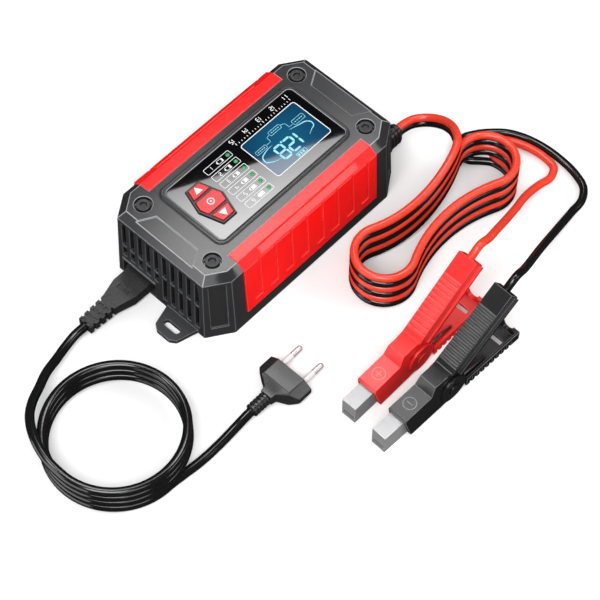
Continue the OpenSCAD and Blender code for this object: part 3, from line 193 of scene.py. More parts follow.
def shade(colour, times):
    """A colour made darker or lighter."""
    return tuple(min(1, c * times) for c in colour)


def moulded(name, colour, roughness, grain=0.35, depth=0.012, shine=1.5):
    """Moulded plastic: an eroded grain in millimetres, and a slow drift of shade and gloss."""
    finish = Finish(name, IOR=shine)
    slow = finish.noise(0.03, 3)
    fine = finish.noise(grain * MM, 3)
    finish.tint(slow * 0.7 + fine * 0.3, shade(colour, 0.84), shade(colour, 1.16))
    finish.rough(slow * 0.6 + fine * 0.4, roughness * 0.85, roughness * 1.15)
    finish.bump(fine, depth)
    return finish.material


def rubbery(name, colour, roughness):
    """Soft extruded plastic, whose low mottle stands for the lines along a jacket."""
    finish = Finish(name, IOR=1.5)
    mottle = finish.noise(0.0016, 4)
    slow = finish.noise(0.05, 2)
    finish.tint(mottle * 0.4 + slow * 0.6, shade(colour, 0.82), shade(colour, 1.15))
    finish.rough(mottle, roughness * 0.8, roughness * 1.2)
    finish.bump(mottle, 0.015)
    return finish.material


def gloss_sheet(name):
    """The panel's polished black sheet: almost no relief, a trace of dust in its gloss."""
    finish = Finish(name, IOR=1.65)
    dust = finish.noise(0.0006, 5)
    cloud = finish.noise(0.02, 2)
    finish.tint(cloud, (0.0012, 0.0012, 0.0015), (0.002, 0.002, 0.0024))
    finish.rough(dust * 0.4 + cloud * 0.6, 0.012, 0.03)
    finish.bump(finish.noise(0.006, 2), 0.0003)
    return finish.material


def display_field(name):
    """The lit field of the display: deep blue that is lighter to its middle, with a fine grid of dots."""
    dot_pitch = 0.0009
    finish = Finish(name, IOR=1.5, Roughness=0.03, Emission_Strength=1.0)
    across = finish.axis("X") - LCD_MID[0] * MM
    along = finish.axis("Y") - LCD_MID[1] * MM
    far = (across * across + along * along) ** 0.5
    share = finish.span(far, 0.004, 0.032)
    dots = finish.stripes("X", dot_pitch) * finish.stripes("Y", dot_pitch)
    finish.tint(share, (0.004, 0.05, 0.1), (0.002, 0.02, 0.05))
    glow = finish.blend(share, (0.001, 0.030, 0.062), (0.0005, 0.014, 0.036))
    finish.set("Emission Color", finish.blend(dots * 0.08 + 0.04, glow, (0.01, 0.09, 0.15)))
    return finish.material


def glowing(name, colour, strength, body):
    """A lit mark or lamp, a little uneven in its glow."""
    finish = Finish(name, Roughness=0.25, Emission_Strength=strength)
    patchy = finish.noise(0.0025, 2)
    finish.tint(patchy, body, colour)
    finish.set("Emission Color", finish.blend(patchy, shade(colour, 0.85), colour))
    return finish.material


def printed(name, colour):
    """Screen-printed ink: slightly thin in places, matt."""
    finish = Finish(name)
    thin = finish.noise(0.0005, 4)
    finish.tint(thin, shade(colour, 0.86), colour)
    finish.rough(thin, 0.38, 0.55)
    finish.bump(thin, 0.006)
    return finish.material


def metal(name, colour, roughness, lines=(1, 1, 1), bare=1.0):
    """Bare or plated metal with rolling lines, which run along the axis whose scale is the smallest."""
    finish = Finish(name, Metallic=bare)
    rolled = finish.noise(0.0006, 4, lines)
    slow = finish.noise(0.012, 2)
    finish.tint(slow * 0.5 + rolled * 0.5, shade(colour, 0.9), colour)
    finish.rough(rolled * 0.7 + slow * 0.3, roughness * 0.75, roughness * 1.25)
    finish.bump(rolled, 0.004)
    return finish.material


def laminated(name):
    """A transformer core: thin sheets stacked along Y, with a dark line between two sheets."""
    finish = Finish(name, Metallic=0.7)
    ridge = finish.stripes("Y", 0.0005) * 0.5 + 0.5
    rust = finish.noise(0.003, 4)
    finish.tint(ridge * 0.6 + rust * 0.4, (0.03, 0.03, 0.033), (0.2, 0.2, 0.21))
    finish.rough(rust, 0.35, 0.6)
    finish.bump(ridge, 0.05)
    return finish.material


def wound(name, colour):
    """Enamelled wire in close turns one above the other, each about 0.8 mm high."""
    finish = Finish(name, Metallic=0.8)
    turn = (finish.axis("Z") * (TURN / 0.0008) + finish.noise(0.01, 1) * 2.0).wave() * 0.5 + 0.5
    enamel = finish.noise(0.004, 2)
    finish.tint(turn * 0.8 + enamel * 0.2, shade(colour, 0.35), colour)
    finish.rough(enamel, 0.22, 0.38)
    finish.bump(turn, 0.2)
    return finish.material


def board(name):
    """A circuit board: green lacquer over copper tracks, which show as lighter cells' borders."""
    finish = Finish(name, IOR=1.5)
    track = finish.span(finish.cells(0.004), 0.32, 0.38)
    weave = finish.noise(0.0005, 2)
    finish.tint(track * 0.8 + weave * 0.2, (0.006, 0.06, 0.025), (0.015, 0.13, 0.05))
    finish.rough(weave, 0.2, 0.35)
    finish.bump(track, 0.03)
    return finish.material


def striped(name, colour, mark, letter, pitch, share):
    """Plastic with a repeated stripe across one axis, such as a ribbon's cores or a sleeve's band."""
    finish = Finish(name)
    stripe = finish.stripes(letter, pitch) > share
    fine = finish.noise(0.0008, 3)
    finish.tint(stripe * 0.9 + fine * 0.1, colour, mark)
    finish.rough(fine, 0.25, 0.45)
    finish.bump(fine, 0.01)
    return finish.material


# ---- mesh building

def unit(vectors):
    vectors = np.asarray(vectors, float)
    return vectors / np.linalg.norm(vectors, axis=-1, keepdims=True)


def curve_through(points, first_way, last_way, step=0.002):
    """Points about a step apart on one smooth line through the given ones.

    Between two given points it is a cubic in the distance along the chords. The slope at each given point is
    that of the parabola through it and its two neighbours, and at the ends it is the given way.
    """
    points = np.asarray(points, float)
    chord = np.append(0, np.cumsum(np.linalg.norm(np.diff(points, axis=0), axis=1)))
    slope = np.gradient(points, chord, axis=0)
    slope[0], slope[-1] = unit(first_way), unit(last_way)
    along = np.linspace(0, chord[-1], math.ceil(chord[-1] / step) + 1)
    i = np.clip(np.searchsorted(chord, along, side="right") - 1, 0, len(points) - 2)
    length = (chord[i + 1] - chord[i])[:, None]
    u = (along - chord[i])[:, None] / length
    return (
        (1 + 2 * u) * (1 - u) ** 2 * points[i] + u * (1 - u) ** 2 * length * slope[i]
        + u * u * (3 - 2 * u) * points[i + 1] + u * u * (u - 1) * length * slope[i + 1]
    )


def arc(x, y, radius, angle):
    return np.c_[x + radius * np.cos(angle), y + radius * np.sin(angle)]


def ring_walls(rings, sides, turned=False):
    """The faces between rings of points that follow each other. Turned ones look the other way."""
    start = np.arange(rings - 1)[:, None] * sides
    here, there = start + np.arange(sides), start + np.roll(np.arange(sides), -1)
    corners = [here, there, there + sides, here + sides]
    if turned:
        corners = [corners[i] for i in (0, 3, 2, 1)]
    return np.stack(corners, axis=-1).reshape(-1, 4).tolist()


def placed(points, place):
    """Points in millimetres moved by a placing matrix, in metres."""
    return (np.c_[points, np.ones(len(points))] @ np.array(place).T)[:, :3] * MM


def tube(path, radius, sides=20, level=UP):
    """A round tube with flat ends: ring i is path i plus the radius times (cos a across + sin a above).

    Across is square to the path and to the level direction, above is square to both, and a goes round in
    equal steps.
    """
    path = np.asarray(path, float)
    way = unit(np.gradient(path, axis=0))
    across = unit(np.cross(way, level))
    above = np.cross(across, way)
    angle = np.linspace(0, TURN, sides, endpoint=False)[:, None]
    rings = path[:, None] + radius * (np.cos(angle) * across[:, None] + np.sin(angle) * above[:, None])
    foot = np.arange(sides)
    head = foot[::-1] + (len(path) - 1) * sides
    return rings.reshape(-1, 3), [*ring_walls(len(path), sides, turned=True), foot.tolist(), head.tolist()]


def piece(name, surface, material, body=None, sharp=40):
    """A mesh object from points in metres and faces, smooth up to an angle in degrees, riding on a body."""
    points, faces = surface
    mesh = bpy.data.meshes.new(name)
    mesh.from_pydata(np.asarray(points, float).tolist(), [], faces)
    mesh.materials.append(material)
    mesh.shade_smooth()
    mesh.set_sharp_from_angle(angle=math.radians(sharp))
    made = bpy.data.objects.new(name, mesh)
    bpy.context.scene.collection.objects.link(made)
    if body:
        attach(made, body)
    return made


def joined(surfaces):
    """Several surfaces as one."""
    points, faces = [], []
    for some_points, some_faces in surfaces:
        faces += [[len(points) + i for i in face] for face in some_faces]
        points += list(some_points)
    return np.array(points), faces


# How far an edge turns to be rounded, and how near two points and how level two faces are to become one
EDGE_ANGLE = math.radians(30)
MERGE = 1e-4
FLAT = math.radians(0.8)


def rounded_edges(made, width):
    """A bevel of a width in millimetres on every edge that turns enough."""
    bevel = made.modifiers.new("edges", "BEVEL")
    bevel.width = width * MM
    bevel.segments = 2
    bevel.limit_method = "ANGLE"
    bevel.angle_limit = EDGE_ANGLE
    bevel.harden_normals = True
    bevel.use_clamp_overlap = False
    bevel.loop_slide = False
    return bevel


def round_long_edges(made, width, shortest):
    """A bevel in millimetres on the edges that turn enough and are at least as long as the shortest."""
    shape = bmesh.new()
    shape.from_mesh(made.data)
    weight = shape.edges.layers.float.new("bevel_weight_edge")
    for edge in shape.edges:
        long = edge.calc_length() >= shortest * MM
        edge[weight] = long and edge.calc_face_angle(0) > EDGE_ANGLE
    shape.to_mesh(made.data)
    shape.free()
    rounded_edges(made, width).limit_method = "WEIGHT"


def dressed(node, material, slot, edge, painted_edge_highlight=None, shortest=0):
    """Stands for a CAD node: its mesh with closed seams, flat faces in convex pieces, and rounded edges.

    The roundings may have a lighter finish of their own, a painted highlight along the edges, and may leave
    the shorter edges sharp.
    """
    source = frame["nodes"][node]
    shape = bmesh.new()
    shape.from_mesh(source.data)
    bmesh.ops.remove_doubles(shape, verts=shape.verts, dist=MERGE)
    bmesh.ops.dissolve_limit(shape, angle_limit=FLAT, verts=shape.verts, edges=shape.edges)
    bmesh.ops.connect_verts_concave(shape, faces=shape.faces)
    shape.verts.index_update()
    points = [vertex.co[:] for vertex in shape.verts]
    faces = [[vertex.index for vertex in face.verts] for face in shape.faces]
    shape.free()
    made = piece(node + "_look", (points, faces), material, source["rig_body"], sharp=32)
    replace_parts(made, node)
    if shortest:
        round_long_edges(made, edge, shortest)
    elif edge:
        rounded_edges(made, edge)
    # A lighter finish on the roundings paints a highlight along the edges
    if painted_edge_highlight:
        made.data.materials.append(painted_edge_highlight)
        made.modifiers["edges"].material = 1
    return made


class Sketch:
    """Thin plates in millimetres on the plane z = 0, collected into one surface."""

    def __init__(self):
        self.surfaces = []

    def plate(self, outline):
        """A plate inside a closed outline that runs counterclockwise."""
        n = len(outline)
        flat = np.asarray(outline, float)
        points = [*np.c_[flat, np.zeros(n)], *np.c_[flat, np.ones(n)]]
        walls = [[i, (i + 1) % n, n + (i + 1) % n, n + i] for i in range(n)]
        self.surfaces.append((points, [*walls, list(range(n, 2 * n))]))
        return self

    def band(self, outer, inner):
        """A plate between two closed outlines with the same number of points."""
        n = len(outer)
        flat = np.vstack([outer, inner])
        points = [*np.c_[flat, np.zeros(2 * n)], *np.c_[flat, np.ones(2 * n)]]
        faces = []
        for i in range(n):
            k = (i + 1) % n
            faces += [
                [i, k, 2 * n + k, 2 * n + i], [n + k, n + i, 3 * n + i, 3 * n + k],
                [2 * n + i, 2 * n + k, 3 * n + k, 3 * n + i],
            ]
        self.surfaces.append((points, faces))
        return self

    def stroke(self, points, widths):
        """A line through points with a width, or with a width at each point."""
        points = np.asarray(points, float)
        way = unit(np.gradient(points, axis=0))
        side = np.c_[-way[:, 1], way[:, 0]] * np.broadcast_to(widths, len(points))[:, None] / 2
        return self.plate([*(points - side), *(points + side)[::-1]])

    def box(self, *sides):
        """A plate that is a box with rounded corners."""
        return self.plate(rounded_box(*sides))

    def box_line(self, x0, x1, y0, y1, radius, width):
        """The line round a box with rounded corners."""
        inner = rounded_box(x0 + width, x1 - width, y0 + width, y1 - width, max(radius - width, 0.05))
        return self.band(rounded_box(x0, x1, y0, y1, radius), inner)

    def ring(self, x, y, outer, inner):
        return self.band(circle(x, y, outer), circle(x, y, inner))

    def digits(self, text, x, y, width, height, line, gap=0.3):
        """Seven-segment numbers from a point at their lower left, reading towards -X, their top at -Y."""
        for letter in text:
            for segment in SEGMENTS[letter]:
                (u0, v0), (u1, v1) = SEGMENT_ENDS[segment]
                a = np.array([x - u0 * width, y - v0 * height / 2])
                b = np.array([x - u1 * width, y - v1 * height / 2])
                self.plate(hexagon(a, b, line))
            x -= width * (1 + gap) + line
        return self

    def surface(self, place, thickness):
        """The plates with their foot on a place's plane and a thickness in millimetres, in metres."""
        points, faces = joined(self.surfaces)
        return placed(points * [1, 1, thickness], place), faces


SEGMENTS = {
    "1": "bc", "2": "abdeg", "3": "abcdg", "4": "bcfg", "5": "acdfg", "6": "acdefg", "8": "abcdefg",
}
SEGMENT_ENDS = {
    "a": ((0, 2), (1, 2)), "b": ((1, 2), (1, 1)), "c": ((1, 1), (1, 0)), "d": ((1, 0), (0, 0)),
    "e": ((0, 0), (0, 1)), "f": ((0, 1), (0, 2)), "g": ((0, 1), (1, 1)),
}


def hexagon(a, b, line):
    """A segment between two points, with pointed ends that stand back by a share of the line."""
    gap = 0.12
    way = unit(b - a)
    side = np.array([-way[1], way[0]]) * line / 2
    a, b = a + way * line * gap, b - way * line * gap
    tip = way * line / 2
    return [a, a + tip - side, b - tip - side, b, b - tip + side, a + tip + side]


def circle(x, y, radius, sides=40):
    return arc(x, y, radius, np.linspace(0, TURN, sides, endpoint=False))


def rounded_box(x0, x1, y0, y1, radius):
    """The outline of a box with rounded corners, counterclockwise."""
    steps = 6
    corners = [(x1 - radius, y1 - radius), (x0 + radius, y1 - radius), (x0 + radius, y0 + radius),
               (x1 - radius, y0 + radius)]
    outline = []
    for quarter, (x, y) in enumerate(corners):
        angle = (quarter + np.linspace(0, 1, steps + 1)) * math.pi / 2
        outline += list(arc(x, y, radius, angle))
    return np.array(outline)


# ---- camera

AZIMUTH = math.radians(-46.695)
ELEVATION = math.radians(58.520)
EYE = Vector((-0.53648, -0.54476, 1.14417))
LENS = 123.39
SENSOR = 36.0


def make_camera():
    """A camera at the eye that looks down at the elevation, level, with its azimuth counted from +Y."""
    sine, cosine, level = math.sin(AZIMUTH), math.cos(AZIMUTH), math.cos(ELEVATION)
    back = Vector((sine * level, -cosine * level, math.sin(ELEVATION)))
    right = Vector((cosine, sine, 0))
    data = bpy.data.cameras.new("camera")
    data.lens, data.sensor_width = LENS, SENSOR
    data.clip_start, data.clip_end = 0.05, 20
    camera = bpy.data.objects.new("camera", data)
    turned = Matrix((right, back.cross(right), back)).transposed().to_4x4()
    camera.matrix_world = Matrix.Translation(EYE) @ turned
    bpy.context.scene.collection.objects.link(camera)
    bpy.context.scene.camera = camera


# ---- cords

MAINS_D = 0.0062
LEAD_D = 0.0055
LEAD_R = LEAD_D / 2
LEAD_PITCH = 0.006
COIL_MID = (-0.182, -0.0535)
COIL_R = 0.0453
COIL_PITCH = 0.0067
COIL_TURNS = 3.25
COIL_FOOT = MAINS_D / 2
COIL_TOP = COIL_FOOT + COIL_TURNS * COIL_PITCH
COIL_ENTER = math.pi
LEAD_BASES = {"red": LEAD_R + LEAD_PITCH, "black": LEAD_R}
LEAD_EXITS = {"red": 0.027, "black": 0.021}

# Routes that repeat the part's, in metres, where a cord lies free
MAINS_START = [
    (-0.1388, 0.0202, 0.0065), (-0.147, 0.0202, 0.0063), (-0.158, 0.018, 0.007), (-0.169, 0.0145, 0.009),
    (-0.181, 0.0105, 0.012), (-0.193, 0.004, 0.0155), (-0.203, -0.0015, 0.0185), (-0.2115, -0.0085, 0.0215),
    (-0.2185, -0.018, 0.0235), (-0.2235, -0.029, 0.0245), (-0.2267, -0.0415, COIL_TOP),
    (COIL_MID[0] - COIL_R, COIL_MID[1], COIL_TOP),
]
MAINS_END = [
    (COIL_MID[0], COIL_MID[1] - COIL_R, COIL_FOOT), (-0.170, -0.0998, 0.0031), (-0.157, -0.1012, 0.0031),
    (-0.140, -0.1014, 0.0032), (-0.125, -0.101, 0.0045), (-0.117, -0.101, 0.0061), (-0.1103, -0.101, 0.00685),
]
LEAD_START = [
    (0.1005, -0.031, 0), (0.110, -0.031, 0), (0.117, -0.0325, -0.0005), (0.1245, -0.0385, 0),
    (0.1275, -0.048, 0.004), (0.1245, -0.061, 0.0113), (0.1203, -0.0673, 0.0153), (0.1165, -0.072, 0.0174),
]
RED_END = [
    (0.143, -0.085, 0.008), (0.1465, -0.078, 0.0062), (0.153, -0.0745, 0.0036), (0.160, -0.0775, LEAD_R),
    (0.1648, -0.0855, LEAD_R), (0.168, -0.0965, LEAD_R), (0.1688, -0.109, LEAD_R),
    (0.1663, -0.1185, LEAD_R), (0.159, -0.122, 0.003), (0.148, -0.1212, 0.005), (0.1325, -0.1227, 0.0115),
    (0.111, -0.129, 0.024), (0.089, -0.136, 0.0395), (0.074, -0.1408, 0.051), (0.062, -0.1443, 0.059),
]
BLACK_END = [
    (0.1409, -0.0843, LEAD_R), (0.1368, -0.0786, LEAD_R), (0.1315, -0.0715, LEAD_R),
    (0.131, -0.0645, LEAD_R), (0.1355, -0.0585, LEAD_R), (0.143, -0.0573, LEAD_R),
    (0.1515, -0.0615, LEAD_R), (0.1605, -0.069, LEAD_R), (0.167, -0.0765, LEAD_R),
    (0.1715, -0.086, LEAD_R), (0.1746, -0.0995, LEAD_R), (0.175, -0.117, LEAD_R),
    (0.1725, -0.1325, LEAD_R), (0.1675, -0.1435, LEAD_R), (0.159, -0.149, LEAD_R),
    (0.147, -0.1503, 0.003), (0.129, -0.153, 0.0065), (0.105, -0.1585, 0.018), (0.084, -0.1655, 0.034),
    (0.071, -0.1705, 0.046), (0.0605, -0.1745, 0.0565),
]
LEAD_ENDS = {"red": RED_END, "black": BLACK_END}
RISE_FROM = {"red": (0.148, -0.1212, 0.005), "black": (0.147, -0.1503, 0.003)}

# Hank of the two leads: round ends joined by a drawn-in waist, as arcs that meet smoothly
HANK_MID = (0.0725, -0.093)
HANK_REACH = 0.050
END_R = 0.020
WAIST = 0.009
WAIST_R = (HANK_REACH ** 2 + WAIST ** 2 - END_R ** 2) / (2 * (END_R - WAIST))
WAIST_MID = WAIST + WAIST_R
END_HALF = math.atan2(WAIST_MID, -HANK_REACH)
WAIST_HALF = math.asin(HANK_REACH / (END_R + WAIST_R))
WAIST_L = 2 * WAIST_HALF * WAIST_R
END_L = 2 * END_HALF * END_R
HANK_LOOP = 2 * (WAIST_L + END_L)
HANK_FROM = 0.009
HANK_TO = 2 * HANK_LOOP + 2 * WAIST_L + 1.5 * END_L
HANK_LEVELS = 3

# Clamps: where each pivot stands, how it is turned, and where and how its lead leaves the raised handle
CLAMP_AT = {"red": (-0.010, -0.146, 0), "black": (-0.0126, -0.1755, 0)}
CLAMP_TURN = {"red": 0.0, "black": math.radians(-2)}
HANDLE_ANGLE = math.radians(35.5)
HANDLE_END = (0.05248, 0.0601)
LEAD_STRAIGHT = 9 * MM
PIVOT_H = 11.5


def clamp_place(colour):
    """From a clamp's own frame in millimetres, pivot over the origin, to the part's frame in millimetres."""
    return Matrix.Translation(Vector(CLAMP_AT[colour]) / MM) @ Matrix.Rotation(CLAMP_TURN[colour], 4, "Z")


def coil_path():
    """A level helix: the centre plus the radius times (cos a, sin a), falling one pitch in each turn."""
    turn = np.linspace(0, COIL_TURNS, math.ceil(COIL_TURNS * 96) + 1)
    angle = COIL_ENTER + TURN * turn
    return np.c_[arc(*COIL_MID, COIL_R, angle), COIL_TOP - COIL_PITCH * turn]


def hank_path(base):
    """The hank's line: four arcs that follow each other, one twin pitch lower each loop.

    The fall happens along the rear run, as (1 - cos)/2 of the share of it that is done.
    """
    s = np.linspace(HANK_FROM, HANK_TO, math.ceil((HANK_TO - HANK_FROM) / 0.002) + 1)
    a = s % HANK_LOOP
    b, c = a - WAIST_L, a - WAIST_L - END_L
    d = c - WAIST_L
    quarter = math.pi / 2
    level = np.select(
        [(a < WAIST_L)[:, None], (b < END_L)[:, None], (c < WAIST_L)[:, None]],
        [
            arc(0, WAIST_MID, WAIST_R, WAIST_HALF - quarter - a / WAIST_R),
            arc(-HANK_REACH, 0, END_R, math.pi - END_HALF + b / END_R),
            arc(0, -WAIST_MID, WAIST_R, WAIST_HALF + quarter - c / WAIST_R),
        ],
        arc(HANK_REACH, 0, END_R, d / END_R - END_HALF),
    )
    drop = s // HANK_LOOP + np.where(a < WAIST_L, (1 - np.cos(math.pi * a / WAIST_L)) / 2, 1)
    return np.c_[level + HANK_MID, base + 2 * LEAD_PITCH * (HANK_LEVELS - drop)]


def lead_path(colour):
    """One output lead from the gland through the hank to its clamp's handle."""
    hank = hank_path(LEAD_BASES[colour])
    start = [(x, y, z + LEAD_EXITS[colour]) for x, y, z in LEAD_START]
    ahead = np.array([math.cos(CLAMP_TURN[colour]), math.sin(CLAMP_TURN[colour]), 0])
    way = math.cos(HANDLE_ANGLE) * ahead + (0, 0, math.sin(HANDLE_ANGLE))
    finish = np.array(CLAMP_AT[colour]) + HANDLE_END[0] * ahead + (0, 0, HANDLE_END[1])
    rise = [hank[-1], *LEAD_ENDS[colour], finish + LEAD_STRAIGHT * way, finish]
    return np.vstack([
        curve_through([*start, hank[0]], (1, 0, 0), hank[1] - hank[0])[:-1], hank[:-1],
        curve_through(rise, (0, 1, 0), -way),
    ])


def make_mains_cord(material):
    """The mains cord from its connector through the coil to its plug."""
    path = np.vstack([
        curve_through(MAINS_START, (-1, 0, 0), (0, -1, 0))[:-1], coil_path()[:-1],
        curve_through(MAINS_END, (1, 0, 0), (1, 0, 0)),
    ])
    cord = piece("mains_cord", tube(path, MAINS_D / 2), material, "mains_set")
    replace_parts(cord, "mains_cord_start", "mains_cord_coil", "mains_cord_end")
    return cord, path


def make_lead(colour):
    """A lead in two pieces: the one on the ground, and the rising one up to the clamp's handle."""
    material, slot = JACKETS[colour]
    path = lead_path(colour)
    cut = int(np.argmin(np.linalg.norm(path - RISE_FROM[colour], axis=1)))
    ground, rise = path[: cut + 1], path[cut:]
    lying = piece(colour + "_lead", tube(ground, LEAD_R), material, "root")
    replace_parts(lying, colour + "_lead_start", colour + "_lead_hank")
    rising = piece(colour + "_lead_rise", tube(rise, LEAD_R), material, None)
    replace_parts(rising, colour + "_lead_end")
    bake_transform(rising)
    return (lying, ground), (rising, rise)


make_camera()
jacket_black = rubbery("cord_black", (0.006, 0.006, 0.0065), 0.14)
jacket_red = rubbery("lead_red", (0.72, 0.045, 0.02), 0.24)
JACKETS = {"red": (jacket_red, "lead_red"), "black": (jacket_black, "cord_black")}
mains_cord, mains_path = make_mains_cord(jacket_black)
leads = {colour: make_lead(colour) for colour in JACKETS}


# ---- CAD nodes with their finishes

shell_black = moulded("shell_black", (0.024, 0.0245, 0.026), 0.34)
cover_grey = moulded("cover_grey", (0.022, 0.0225, 0.024), 0.14, shine=1.42)
grip_red = moulded("grip_red", (0.84, 0.006, 0.006), 0.18, grain=0.5, depth=0.006, shine=1.38)
key_red = moulded("key_red", (0.55, 0.008, 0.012), 0.28, grain=0.6, depth=0.006)
clamp_red = moulded("clamp_red", (0.72, 0.016, 0.014), 0.24, grain=0.6, depth=0.004)
clamp_black = moulded("clamp_black", (0.009, 0.009, 0.0095), 0.24, grain=0.6, depth=0.004)
rubber_black = moulded("rubber_black", (0.018, 0.018, 0.0185), 0.28, grain=0.8, depth=0.003)
# Lighter copies of the plastics for the rounded edges: painted edge highlights
painted_highlight_grey = moulded("painted_highlight_grey", (0.30, 0.30, 0.31), 0.3)
painted_highlight_black = moulded("painted_highlight_black", (0.10, 0.10, 0.105), 0.3)
painted_highlight_red = moulded("painted_highlight_red", (0.88, 0.035, 0.03), 0.26)
# Near-black for thin sheets that paint the shade in a groove round the rim and along the plug's crease and
# ribs
painted_shade_black = moulded("painted_shade_black", (0.003, 0.003, 0.003), 0.5, grain=0.5)
fan_black = moulded("fan_black", (0.012, 0.012, 0.013), 0.45, grain=0.8)
terminal_green = moulded("terminal_green", (0.02, 0.16, 0.06), 0.4)
sleeve_white = moulded("sleeve_white", (0.60, 0.60, 0.60), 0.35, grain=0.5)
epoxy = moulded("epoxy_black", (0.02, 0.02, 0.022), 0.6, grain=0.2)
panel_black = gloss_sheet("panel_black")
rim_black = moulded("rim_black", (0.010, 0.010, 0.011), 0.30, grain=0.8, depth=0.004)
nickel = metal("nickel", (0.40, 0.40, 0.405), 0.20, (0.15, 1, 1), bare=0.45)
screw_steel = metal("screw_steel", (0.035, 0.035, 0.037), 0.38, bare=0.4)
steel = metal("steel", (0.62, 0.62, 0.63), 0.3)
spring_steel = metal("spring_steel", (0.20, 0.20, 0.205), 0.32)
pin_metal = metal("pin_nickel", (0.60, 0.59, 0.57), 0.25, (0.1, 1, 1), bare=0.5)
sink_metal = metal("aluminium", (0.72, 0.73, 0.75), 0.34, (1, 1, 0.08))
core_sheets = laminated("core_steel")
copper_turns = wound("copper", (0.80, 0.32, 0.13))
green_board = board("board_green")
can_sleeve = striped("capacitor_sleeve", (0.01, 0.02, 0.06), (0.55, 0.58, 0.6), "X", 0.018, 0.86)
ribbon = striped("ribbon_grey", (0.42, 0.43, 0.45), (0.25, 0.26, 0.28), "Y", 0.00127, 0.75)
fuse_glass = striped("fuse_glass", (0.70, 0.72, 0.74), (0.5, 0.51, 0.53), "X", 0.016, 0.6)
lamp_green = glowing("light_green", (0.02, 0.26, 0.07), 0.35, (0.01, 0.12, 0.03))

# Node: its finish, its slot in the record, the width of its rounded edges in millimetres, and their lighter
# finish, a painted edge highlight
LOOKS = {
    "base_shell": (shell_black, "shell_black", 0.3, painted_highlight_black),
    "top_cover": (cover_grey, "cover_grey", 0.35, painted_highlight_grey),
    **dict.fromkeys(("front_grip", "rear_grip"), (grip_red, "grip_red", 0.3, painted_highlight_red)),
    "display_panel": (panel_black, "panel_black", 0.2),
    "key_bezel": (shell_black, "shell_black", 0.3),
    "case_screws": (screw_steel, "steel", 0.25),
    "output_gland": (rubber_black, "shell_black", 0),
    **dict.fromkeys(("up_key", "enter_key", "down_key"), (key_red, "grip_red", 0.35)),
    "lcd_module": (panel_black, "lcd_blue", 0.1),
    "status_lights": (lamp_green, "light_green", 0.1),
    "display_board": (green_board, "board_green", 0),
    "tact_switches": (steel, "steel", 0.1),
    "ribbon_cable": (ribbon, "ribbon_grey", 0.1),
    "main_board": (green_board, "board_green", 0),
    "board_screws": (steel, "steel", 0.1),
    "transformer_core": (core_sheets, "core_steel", 0.1),
    "transformer_winding": (copper_turns, "copper", 0.8),
    "capacitors": (can_sleeve, "capacitor_sleeve", 0.5),
    "heat_sink": (sink_metal, "aluminium", 0.1),
    "power_transistors": (epoxy, "epoxy_black", 0.1),
    "fuse": (fuse_glass, "fuse_glass", 0.1),
    "choke_coil": (copper_turns, "copper", 0),
    "inlet_socket": (shell_black, "shell_black", 0.2),
    "inlet_pins": (pin_metal, "brass", 0.1),
    **dict.fromkeys(("fan_frame", "fan_rotor"), (fan_black, "shell_black", 0.1)),
    "output_terminal": (terminal_green, "board_green", 0.3),
    "mains_connector": (rubber_black, "cord_black", 0.3),
    "plug_relief": (rubber_black, "cord_black", 0.3),
    "plug_body": (rubber_black, "cord_black", 0.6),
    "plug_pins": (pin_metal, "brass", 0),
    "plug_sleeves": (sleeve_white, "sleeve_grey", 0),
}
# Clamp: its plastic, its slot in the record and the lighter finish of its handles' rounded edges, a painted
# edge highlight
CLAMP_LOOKS = {
    "red": (clamp_red, "grip_red", painted_highlight_red),
    "black": (clamp_black, "clamp_black", painted_highlight_black),
}

looks = {node: dressed(node, *look) for node, look in LOOKS.items()}
for colour, (plastic, slot, painted_edge_highlight) in CLAMP_LOOKS.items():
    for half in ("upper", "lower"):
        # Ribs and teeth are too narrow to be rounded, so their shorter edges stay sharp.
        handle = f"{colour}_{half}_handle"
        looks[handle] = dressed(handle, plastic, slot, 0.3, painted_edge_highlight, shortest=5)
        looks[f"{colour}_{half}_jaw"] = dressed(f"{colour}_{half}_jaw", nickel, "steel", 0.12)
    looks[f"{colour}_rivet"] = dressed(f"{colour}_rivet", plastic, slot, 0.3)


# ---- springs and wires

SPRING_R = 4.1
SPRING_WIRE_R = 0.9
SPRING_HALF = 4.2
SPRING_TURNS = 4.4
LOWER_ARM_TIP = (34, 4.15)
UPPER_ARM_FOOT = (-2.5, 14.6)
UPPER_ARM_TIP = (26, 43)


def spring_wire(points, colour):
    """A round wire along points in a clamp's own frame in millimetres."""
    return tube(placed(points, clamp_place(colour)), SPRING_WIRE_R * MM, 12, (0, 1, 0))


def make_spring(colour):
    """A coil round the rivet with its lower arm, and the upper arm that turns with the raised handle."""
    turn = np.linspace(0, SPRING_TURNS, 110)
    angle = -math.pi / 2 - TURN * turn
    coil = np.c_[
        SPRING_R * np.cos(angle), -SPRING_HALF + 2 * SPRING_HALF * turn / SPRING_TURNS,
        PIVOT_H + SPRING_R * np.sin(angle),
    ]
    lower = np.linspace((LOWER_ARM_TIP[0], -SPRING_HALF, LOWER_ARM_TIP[1]), coil[0], 12)
    upper = np.linspace((UPPER_ARM_FOOT[0], SPRING_HALF, UPPER_ARM_FOOT[1]),
                        (UPPER_ARM_TIP[0], SPRING_HALF, UPPER_ARM_TIP[1]), 12)
    wound_wire = joined([spring_wire(coil, colour), spring_wire(lower, colour)])
    body = piece(colour + "_spring_coil", wound_wire, spring_steel, "root")
    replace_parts(body, colour + "_spring")
    arm = spring_wire(upper, colour)
    return body, piece(colour + "_spring_arm", arm, spring_steel, colour + "_clamp_top")


WIRE_R = 0.0017
WIRE_MID_Z = 0.024
WIRE_RISE = 0.003
TERMINAL_Y = -0.018
TERMINAL_Z = 0.0161
TERMINAL_HALF = 0.0035


